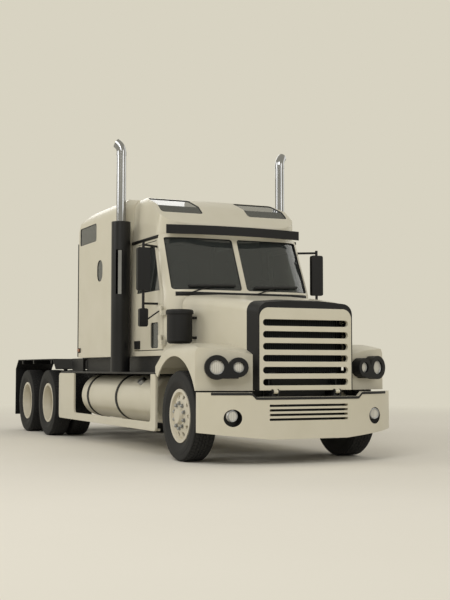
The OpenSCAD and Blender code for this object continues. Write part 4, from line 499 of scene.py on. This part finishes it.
# Lamp glass: clear moulded polycarbonate over a bright bowl; the bowl is not drawn, its brightness is
# painted reflection in the glass's pale colour, and the glass is fluted upright every 20 mm in relief, with
# lighter and darker bands of painted glints along the flutes.
lamp_glass, tree, shader, place = new_finish("fluted_lamp_glass", Roughness=0.14, Coat_Weight=0.6)
flute_pitch_mm = 20.0
flute_bands_and_glints = add(tree, "TexWave", {"Vector": place, "Scale": wave_pitch_mm / flute_pitch_mm},
    bands_direction="Y")
# Lighter and darker bands along the flutes: painted glints
tone = add(tree, "Mix", {0: flute_bands_and_glints.outputs["Fac"], 6: paint_rgb("#B9B6AB"), 7: paint_rgb("#D8D5CA")},
    data_type="RGBA")
tree.links.new(tone.outputs[2], shader.inputs["Base Color"])
relief = add(tree, "Bump", {"Height": flute_bands_and_glints.outputs["Fac"], "Strength": 0.4, "Distance": 0.002})
tree.links.new(relief.outputs["Normal"], shader.inputs["Normal"])
dress("fog_lamps", lamp_glass, edge_mm=3.0)
bezel_radius = 0.008
lamp_middle = Vector((0, 0, bowl_z))
tube_crease_deg = 40.0


def pane_rims(node, inside):
    """The outline of each pane's face that looks away from a point inside, as closed rings of points."""
    bm = bmesh.new()
    bm.from_mesh(frame["nodes"][node].data)
    bmesh.ops.remove_doubles(bm, verts=bm.verts, dist=weld_gap)
    bm.verts.index_update()
    waiting = dict.fromkeys(bm.faces)
    rims = []
    while waiting:
        pane = [waiting.popitem()[0]]
        for face in pane:
            for near in (f for edge in face.edges for f in edge.link_faces if f in waiting):
                del waiting[near]
                pane.append(near)
        centre = sum((f.calc_center_median() * f.calc_area() for f in pane), Vector())
        centre /= sum(f.calc_area() for f in pane)
        toward = centre - inside
        outward = sum((f.normal * f.calc_area() for f in pane if f.normal.dot(toward) > 0), Vector())
        outward.normalize()
        outer = dict.fromkeys(f for f in pane if f.normal.dot(outward) > 0.5)
        links = {}
        for edge in dict.fromkeys(e for f in outer for e in f.edges):
            if sum(f in outer for f in edge.link_faces) == 1:
                for a, b in (edge.verts, reversed(edge.verts)):
                    links.setdefault(a, []).append(b)
        first = min(links, key=lambda v: v.index)
        ring = [first]
        step = links[first][0]
        while step is not first:
            ring.append(step)
            step = next(v for v in links[step] if v is not ring[-2])
        rims.append([v.co.copy() for v in ring])
    bm.free()
    return rims


def drawn_tubes(name, runs, radius, closed=False):
    """A mesh of round bars along runs of points."""
    curve = bpy.data.curves.new(name, "CURVE")
    curve.dimensions = "3D"
    curve.bevel_depth = radius
    curve.bevel_resolution = 2
    curve.use_fill_caps = True
    for run in runs:
        spline = curve.splines.new("POLY")
        spline.points.add(len(run) - 1)
        for point, spot in zip(spline.points, run):
            point.co = (*spot, 1.0)
        spline.use_cyclic_u = closed
    holder = bpy.data.objects.new(name, curve)
    mesh = bpy.data.meshes.new_from_object(holder)
    bpy.data.objects.remove(holder)
    bpy.data.curves.remove(curve)
    mesh.polygons.foreach_set("use_smooth", [True] * len(mesh.polygons))
    mesh.set_sharp_from_angle(angle=math.radians(tube_crease_deg))
    return mesh


def lamp_bezels(name, node):
    """Plated rings round the front faces of a node's lenses."""
    rings = drawn_tubes(name, pane_rims(node, lamp_middle), bezel_radius, True)
    seat_piece(name, rings, body_of_node[node], "lamp_lens", zinc_plate)


lamp_bezels("fog_lamp_bezels", "fog_lamps")
# A black rubber strip along the bumper's top edge: painted shade for the shadow line between bumper and hood
bumper_skin = skin_of("bumper")
bumper_probe_x = 6.0
bumper_probe_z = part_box("bumper")[1].z - 0.075
edge_probe = Vector((-0.006, 0, 2))
strip_half = 1.1
strip_drop = 0.016
strip_steps = 48
strip_width = 0.028
strip_thick = 0.009
strip_points = []
for k in range(strip_steps + 1):
    y = strip_half * (2 * k / strip_steps - 1)
    front = laid_on(bumper_skin, Vector((bumper_probe_x, y, bumper_probe_z)), -forward)
    top = laid_on(bumper_skin, front + edge_probe, -up)
    strip_points.append(Vector((front.x, front.y, top.z - strip_drop)))
moulding("bumper_shade_strip", "chassis", strip_points, up, forward, strip_width, strip_thick, seal_rubber)

# Cab, doors, roof and sleeper: bonded aluminium panels in body enamel; the door handles are black mouldings,
# the black drip rails over the doors are partly a real rail and partly painted shade of the door-top gap,
# the black corner strips down the sleeper's rear corners are painted shade where the panels turn away, and
# each pane sits in a rubber seal.
# Cab lining: grey needled cloth over board, dull and slightly uneven.
cab_lining = mottled("grey_lining_cloth", "#343331", "#403F3C", grain_mm=4.0, rough=(0.75, 0.9), bump=0.3)
cab_half = 1.025
# Half width inside which a shell's inward faces are lined
lined_half = {"cab_shell": cab_half - 0.02, "cab_roof": 1.0, "sleeper_shell": 1.09}
handle_low = 1.29
handle_high = 1.41
handle_front = 1.6
handle_proud = 0.003


def faces_in(node, half):
    """A test for the faces of a hollow node, inside a half width, that look toward its middle."""
    low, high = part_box(node)
    middle = Vector(((low.x + high.x) / 2, 0, (low.z * 2 + high.z) / 3))
    return lambda f: f.normal.dot(middle - f.calc_center_median()) > 0 and all(
        abs(v.co.y) < half for v in f.verts)


for node, half in lined_half.items():
    dress(node, body_enamel, edge_mm=5.0, other=cab_lining, where=faces_in(node, half))
for node in ("door_left", "door_right"):
    dress(node, body_enamel, edge_mm=5.0, other=black_trim, where=lambda f: all(
        abs(v.co.y) > cab_half - handle_proud and handle_low < v.co.z < handle_high
        and v.co.x < handle_front for v in f.verts))
# Tinted safety glass: dark grey-green, clear enough to show the far windows as lighter shapes.
tinted_glass, tree, shader, place = new_finish("tinted_safety_glass", Roughness=0.02,
    Transmission_Weight=0.85, IOR=1.5)
glass_ripples_per_m = 1.5
ripple = add(tree, "TexNoise", {"Vector": place, "Scale": glass_ripples_per_m})
tone = add(tree, "Mix", {0: ripple.outputs["Fac"], 6: paint_rgb("#6A706E"), 7: paint_rgb("#747A78")},
    data_type="RGBA")
tree.links.new(tone.outputs[2], shader.inputs["Base Color"])
relief = add(tree, "Bump", {"Height": ripple.outputs["Fac"], "Strength": 0.02, "Distance": 0.01})
tree.links.new(relief.outputs["Normal"], shader.inputs["Normal"])
cab_middle = Vector((0.9, 0, 2.2))
seal_radius = 0.009
for node in ("fixed_glass", "door_glass_left", "door_glass_right"):
    dress(node, tinted_glass, edge_mm=0.0)
    seals = drawn_tubes(node + "_seals", pane_rims(node, cab_middle), seal_radius, True)
    seat_piece(node + "_seals", seals, body_of_node[node], "dark_trim", seal_rubber)
cab_skin = skin_of("cab_shell", "cab_roof", "door_left", "door_right", "fixed_glass")
sleeper_skin = skin_of("sleeper_shell")
sleeper_low, sleeper_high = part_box("sleeper_shell")
side_probe = 2.0
# Drip rails: black, partly a real rail and partly painted shade of the door-top gap
drip_z = 2.705
drip_run = (1.12, 2.06)
drip_steps = 24
drip_width = 0.04
drip_thick = 0.014
# Corner strips: black, painted shade down the sleeper's rear corners
corner_run = (1.225, 2.9)
corner_probe_z = 1.6
corner_width = 0.075
corner_thick = 0.012
for side, sign in (("left", 1), ("right", -1)):
    outward = leftward * sign
    spots = [drip_run[0] + (drip_run[1] - drip_run[0]) * k / drip_steps for k in range(drip_steps + 1)]
    moulding(f"drip_rail_shade_{side}", "chassis",
        [laid_on(cab_skin, Vector((x, sign * side_probe, drip_z)), -outward) for x in spots], up, outward,
        drip_width, drip_thick, black_trim)
    diagonal = (forward - outward).normalized()
    corner = Vector((sleeper_low.x, sign * sleeper_high.y, corner_probe_z))
    foot = laid_on(sleeper_skin, corner - diagonal, diagonal)
    moulding(f"corner_shade_strip_{side}", "chassis", [Vector((foot.x, foot.y, z)) for z in corner_run],
        (forward + outward).normalized(), -diagonal, corner_width, corner_thick, black_trim)

# Cowl panel and wipers: a black vent moulding along the foot of the windscreen, its black partly painted
# shade of the gap between hood and windscreen, two pressed arms on pivots and rubber blades that lie along
# the glass.
screen_probe_x = 4.0
cowl_half = 0.9
cowl_z = 1.962
cowl_steps = 24
cowl_width = 0.05
cowl_thick = 0.012
spread_y = [cowl_half * (2 * k / cowl_steps - 1) for k in range(cowl_steps + 1)]
moulding("cowl_shade_panel", "chassis",
    [laid_on(cab_skin, Vector((screen_probe_x, y, cowl_z)), -forward) for y in spread_y], up, forward,
    cowl_width, cowl_thick, black_trim)
blade_roots = {"wiper_left": 0.14, "wiper_right": -0.74}
blade_reach = 0.62
blade_z = 2.06
blade_rise = 0.02
blade_lift = 0.02
blade_steps = 12
blade_width = 0.03
blade_thick = 0.016
pivot_offset = 0.05
pivot_lift = 0.012
arm_radius = 0.008
arm_knee = Vector((0.02, 0.06, 0.012))
arm_clear = Vector((0.012, 0, 0))
arm_bow_share = 0.3
for name, root_y in blade_roots.items():
    blade = []
    for k in range(blade_steps + 1):
        y = root_y + blade_reach * k / blade_steps
        z = blade_z + blade_rise * k / blade_steps
        blade.append(laid_on(cab_skin, Vector((screen_probe_x, y, z)), -forward, blade_lift))
    moulding(name + "_blade", "chassis", blade, up, forward, blade_width, blade_thick, seal_rubber)
    pivot = laid_on(cab_skin, Vector((screen_probe_x, root_y - pivot_offset, cowl_z)), -forward, pivot_lift)
    hold = blade[blade_steps // 2] + arm_clear
    arm = [pivot, pivot + arm_knee, hold.lerp(pivot, arm_bow_share) + arm_clear, hold]
    tube = drawn_tubes(name + "_arm", [arm], arm_radius)
    seat_piece(name + "_arm", tube, "chassis", "dark_trim", black_trim)

# Marker lamps: a small amber acrylic lens in a black base, low on each side of the sleeper near its rear,
# screwed to the panel.
# Amber acrylic: warm, glossy and a little cloudy.
amber_acrylic = mottled("amber_acrylic", "#6E3A0A", "#8A4A10", grain_mm=6.0, rough=(0.15, 0.25), bump=0.1)
marker_spot = Vector((-0.8, 0, 1.318))
# Half length, length of each end step, width and thickness of base and lens
marker_parts = (("base", 0.055, 0.005, 0.07, 0.012, black_trim, "dark_trim"),
    ("lens", 0.045, 0.007, 0.05, 0.022, amber_acrylic, "tail_lamp"))
for side, sign in (("left", 1), ("right", -1)):
    outward = leftward * sign
    foot = laid_on(sleeper_skin, marker_spot + outward * side_probe, -outward)
    for part, half, end, width, thick, finish, slot in marker_parts:
        run = [foot + forward * d for d in (-half, end - half, half - end, half)]
        moulding(f"marker_{part}_{side}", "chassis", run, up, outward, width, thick, finish, slot)

# Cab fittings: moulded dashboard with the steering wheel, two foam seats on steel pedestals, and a bunk with
# a foam mattress on a carpeted base.
# Dash moulding: charcoal vinyl skin with a fine leather grain.
dash_vinyl = mottled("charcoal_dash_vinyl", "#17181A", "#212224", grain_mm=3.0, rough=(0.5, 0.62), bump=0.3)
# Seat cloth: brown-grey woven cover, its twill drawn 12 mm apart so that it holds at this distance.
seat_cloth, tree, shader, place = new_finish("woven_seat_cloth", Roughness=0.9, Sheen_Weight=0.3)
weave_mm = 12.0
warp = add(tree, "TexWave", {"Vector": place, "Scale": wave_pitch_mm / weave_mm}, bands_direction="Y")
weft = add(tree, "TexWave", {"Vector": place, "Scale": wave_pitch_mm / weave_mm}, bands_direction="DIAGONAL")
weave = add(tree, "Math", {0: warp.outputs["Fac"], 1: weft.outputs["Fac"]}, operation="MULTIPLY")
tone = add(tree, "Mix", {0: weave.outputs[0], 6: paint_rgb("#2E2B28"), 7: paint_rgb("#4A4640")},
    data_type="RGBA")
tree.links.new(tone.outputs[2], shader.inputs["Base Color"])
relief = add(tree, "Bump", {"Height": weave.outputs[0], "Strength": 0.4, "Distance": 0.001})
tree.links.new(relief.outputs["Normal"], shader.inputs["Normal"])
dress("dashboard", dash_vinyl, edge_mm=8.0)
pad_rounding = 0.12
pad_crease_deg = 60.0
pad_pressure = 4.0
pad_swell = 0.024
blow_frames = 20
channel_depth = 0.012
channel_half = 0.014


def stuffed(name, node, low, high, voxel, channels, lean=0.0, taper=0.0):
    """A foam pad between two corners: blown up as cloth from a smaller block, then channelled across."""
    middle = (low + high) / 2
    room = high - low
    lies_flat = room.z < room.x
    room -= pad_swell * Vector((0, 0, 1) if lies_flat else (2, 0, 0))
    settle = Vector((0, 0, pad_swell / 2 if lies_flat else 0))
    bm = bmesh.new()
    bmesh.ops.create_cube(bm, size=1.0)
    bmesh.ops.bevel(bm, geom=bm.edges, offset=pad_rounding, segments=3, profile=0.5, affect="EDGES")
    for v in bm.verts:
        rise = v.co.z + 0.5
        v.co = Vector((v.co.x * room.x, v.co.y * room.y * (1 - taper * rise ** 3), v.co.z * room.z))
        v.co += middle - settle - Vector((lean * rise, 0, 0))
    block = smooth_mesh(name, bm, pad_crease_deg)
    pad = seat_piece(name, block, body_of_node[node], "seat_cloth", seat_cloth)
    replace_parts(pad, node)
    remesh = pad.modifiers.new("remesh", "REMESH")
    remesh.mode = "VOXEL"
    remesh.voxel_size = voxel
    graph = bpy.context.evaluated_depsgraph_get()
    pad.data = bpy.data.meshes.new_from_object(pad.evaluated_get(graph))
    pad.modifiers.clear()
    rest = [v.co.copy() for v in pad.data.vertices]
    cloth = pad.modifiers.new("cloth", "CLOTH")
    cloth.settings.use_pressure = True
    cloth.settings.uniform_pressure_force = pad_pressure
    cloth.settings.effector_weights.gravity = 0.0
    for step in range(1, blow_frames + 1):
        bpy.context.scene.frame_set(step)
    graph = bpy.context.evaluated_depsgraph_get()
    blown = [v.co.copy() for v in pad.evaluated_get(graph).data.vertices]
    pad.modifiers.clear()
    bpy.context.scene.frame_set(1)
    for v, start, end in zip(pad.data.vertices, rest, blown):
        move = end - start
        v.co = start + move * min(1.0, pad_swell / max(move.length, 1e-9))
    for v in pad.data.vertices:
        for share in channels:
            gap = abs(v.co.y - (low.y + share * (high.y - low.y)))
            v.co += (middle - v.co).normalized() * channel_depth * math.exp(-(gap / channel_half) ** 2)
    bm = bmesh.new()
    bm.from_mesh(pad.data)
    bmesh.ops.smooth_vert(bm, verts=bm.verts, factor=0.5, use_axis_x=True, use_axis_y=True, use_axis_z=True)
    # A pad is flat underneath, where it rests
    for v in bm.verts:
        v.co.z = max(v.co.z, low.z)
    bm.to_mesh(pad.data)
    bm.free()
    pad.data.polygons.foreach_set("use_smooth", [True] * len(pad.data.polygons))
    if not pad.data.materials:
        pad.data.materials.append(seat_cloth)


seat_low, seat_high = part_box("seats")
seat_width = 0.52
seat_voxel = 0.013
seat_channels = (0.3, 0.7)
cushion_depth = 0.5
cushion_thick = 0.13
cushion_foot = seat_low.z + 0.365
cushion_rear = seat_high.x - cushion_depth
back_thick = 0.13
back_lean = 0.09
back_taper = 0.3
back_sink = 0.03
hinge_inset = 0.014
hinge_foot = Vector((0.08, 0, 0.03))
hinge_step = Vector((-0.0075, 0, 0.08))
hinge_width = 0.055
hinge_thick = 0.01
plinth_top = seat_low.z + 0.05
pan_foot = cushion_foot - 0.04
# Pedestal from floor plate to pan: foot and head radius, low and high
pedestal_stages = ((0.17, 0.15, seat_low.z, plinth_top), (0.12, 0.12, plinth_top, pan_foot),
    (0.2, 0.22, pan_foot, cushion_foot))
for side, sign in (("left", 1), ("right", -1)):
    edge = seat_high.y if sign > 0 else seat_low.y
    y0, y1 = sorted((edge, edge - sign * seat_width))
    cushion_top = cushion_foot + cushion_thick
    stuffed(f"seat_cushion_{side}", "seats", Vector((cushion_rear, y0, cushion_foot)),
        Vector((seat_high.x, y1, cushion_top)), seat_voxel, seat_channels)
    stuffed(f"seat_back_{side}", "seats", Vector((cushion_rear, y0, cushion_top - back_sink)),
        Vector((cushion_rear + back_thick, y1, seat_high.z)), seat_voxel, seat_channels, back_lean,
        back_taper)
    # Pressed hinge plates hold the back to the cushion's pan on both sides
    for edge_name, y, out in (("low_y", y0 + hinge_inset, -1), ("high_y", y1 - hinge_inset, 1)):
        foot = Vector((cushion_rear, y, cushion_foot)) + hinge_foot
        moulding(f"seat_hinge_{side}_{edge_name}", "chassis", [foot + hinge_step * k for k in range(5)],
            forward, leftward * out, hinge_width, hinge_thick, dash_vinyl, "cab_moulding")
    bm = bmesh.new()
    for foot_radius, head_radius, z0, z1 in pedestal_stages:
        spot = Vector((seat_high.x - cushion_depth / 2, (y0 + y1) / 2, (z0 + z1) / 2))
        bmesh.ops.create_cone(bm, cap_ends=True, segments=28, radius1=foot_radius, radius2=head_radius,
            depth=z1 - z0, matrix=Matrix.Translation(spot))
    pedestal = seat_piece(f"seat_pedestal_{side}", smooth_mesh(f"seat_pedestal_{side}", bm), "chassis",
        "cab_moulding", dash_vinyl)
    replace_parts(pedestal, "seats")
bunk_low, bunk_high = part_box("bunk")
mattress_thick = 0.16
mattress_voxel = 0.02
mattress_channels = (0.2, 0.4, 0.6, 0.8)
base_rounding = 0.014
mattress_low = Vector((bunk_low.x, bunk_low.y, bunk_high.z - mattress_thick))
stuffed("bunk_mattress", "bunk", mattress_low, bunk_high, mattress_voxel, mattress_channels)
base_high = Vector((bunk_high.x, bunk_high.y, mattress_low.z))
bm = bmesh.new()
bmesh.ops.create_cube(bm, size=1.0)
for v in bm.verts:
    v.co = Vector((a + (b - a) * (share + 0.5) for a, b, share in zip(bunk_low, base_high, v.co)))
bmesh.ops.bevel(bm, geom=bm.edges, offset=base_rounding, segments=3, profile=0.5, affect="EDGES")
base = seat_piece("bunk_base", smooth_mesh("bunk_base", bm), "chassis", "seat_cloth", cab_lining)
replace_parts(base, "bunk")

# Hood: one glass-fibre moulding of bonnet and fenders in body enamel, hinged at its nose; the slotted grille
# sits in a black collar, its black painted shade on the nose's faces round the grille, black lamp pods are
# let into the fenders, and air cleaners sit beside the bonnet.
# The grille surround takes black trim: painted shade round the grille
for node, finish, edge_mm in (("hood_shell", body_enamel, 6.0), ("grille", body_enamel, 5.0),
        ("grille_surround", black_trim, 4.0), ("headlamp_pods", black_trim, 6.0),
        ("headlamp_lenses", lamp_glass, 2.0), ("air_cleaners", black_trim, 3.0)):
    dress(node, finish, edge_mm)
lamp_bezels("headlamp_bezels", "headlamp_lenses")

# Visor, mirrors and exhaust: black blade and mirror heads with silvered glass behind; polished stacks stand
# inside slotted black shields.
# Bright chrome: pale polished plate that mirrors the studio, dark along its edges.
bright_chrome = mottled("bright_chrome_plate", "#8F9092", "#A3A4A6", grain_mm=20.0, rough=(0.08, 0.14),
    bump=0.02, Metallic=1.0)
# Shield enamel: black stove enamel, half gloss.
shield_enamel = mottled("black_stove_enamel", "#0B0B0C", "#131314", grain_mm=8.0, rough=(0.3, 0.42),
    bump=0.06, Specular_IOR_Level=0.35)
# Silvered glass: clear bright mirror with a trace of haze.
silvered_glass = mottled("silvered_mirror_glass", "#C9CCCD", "#D6D9DA", grain_mm=30.0, rough=(0.02, 0.06),
    bump=0.01, Metallic=1.0)
dress("sun_visor", black_trim, edge_mm=3.0)
dress("exhaust_stacks", bright_chrome, edge_mm=1.5)
dress("heat_shields", shield_enamel, edge_mm=1.5)
# Mirror glasses, upper and lower: low and high edge, and width
mirror_glasses = ((2.03, 2.52, 0.135), (1.585, 1.77, 0.082))
mirror_half = 0.0825
glass_end = 0.01
glass_proud = 0.004
for side, sign in (("left", 1), ("right", -1)):
    node = f"mirror_{side}"
    dress(node, black_trim, edge_mm=6.0)
    low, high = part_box(node)
    middle_y = sign * ((high.y if sign > 0 else -low.y) - mirror_half)
    mirror_skin = skin_of(node)
    for low_z, high_z, width in mirror_glasses:
        foot = laid_on(mirror_skin, Vector((0, middle_y, (low_z + high_z) / 2)), forward)
        run = [Vector((foot.x, middle_y, z)) for z in (low_z, low_z + glass_end, high_z - glass_end, high_z)]
        moulding(f"mirror_glass_{side}_{low_z:.1f}", body_of_node[node], run, leftward, -forward, width,
            glass_proud, silvered_glass, "bright_chrome")

# Rear: a black lamp bar with red lenses bolted across the rails' ends, and the greased cast coupling plate
# that rocks on its base.
# Red acrylic: deep, glossy and a little cloudy.
red_acrylic = mottled("red_acrylic", "#5E1210", "#7A1A16", grain_mm=4.0, rough=(0.15, 0.25), bump=0.1)
tail_lens_depth = 0.021
lens_face_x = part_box("rear_lamps")[0].x + tail_lens_depth
dress("rear_lamps", black_trim, edge_mm=3.0, other=red_acrylic,
    where=lambda f: all(v.co.x < lens_face_x for v in f.verts))
dress("fifth_wheel_plate", painted_iron, edge_mm=4.0)
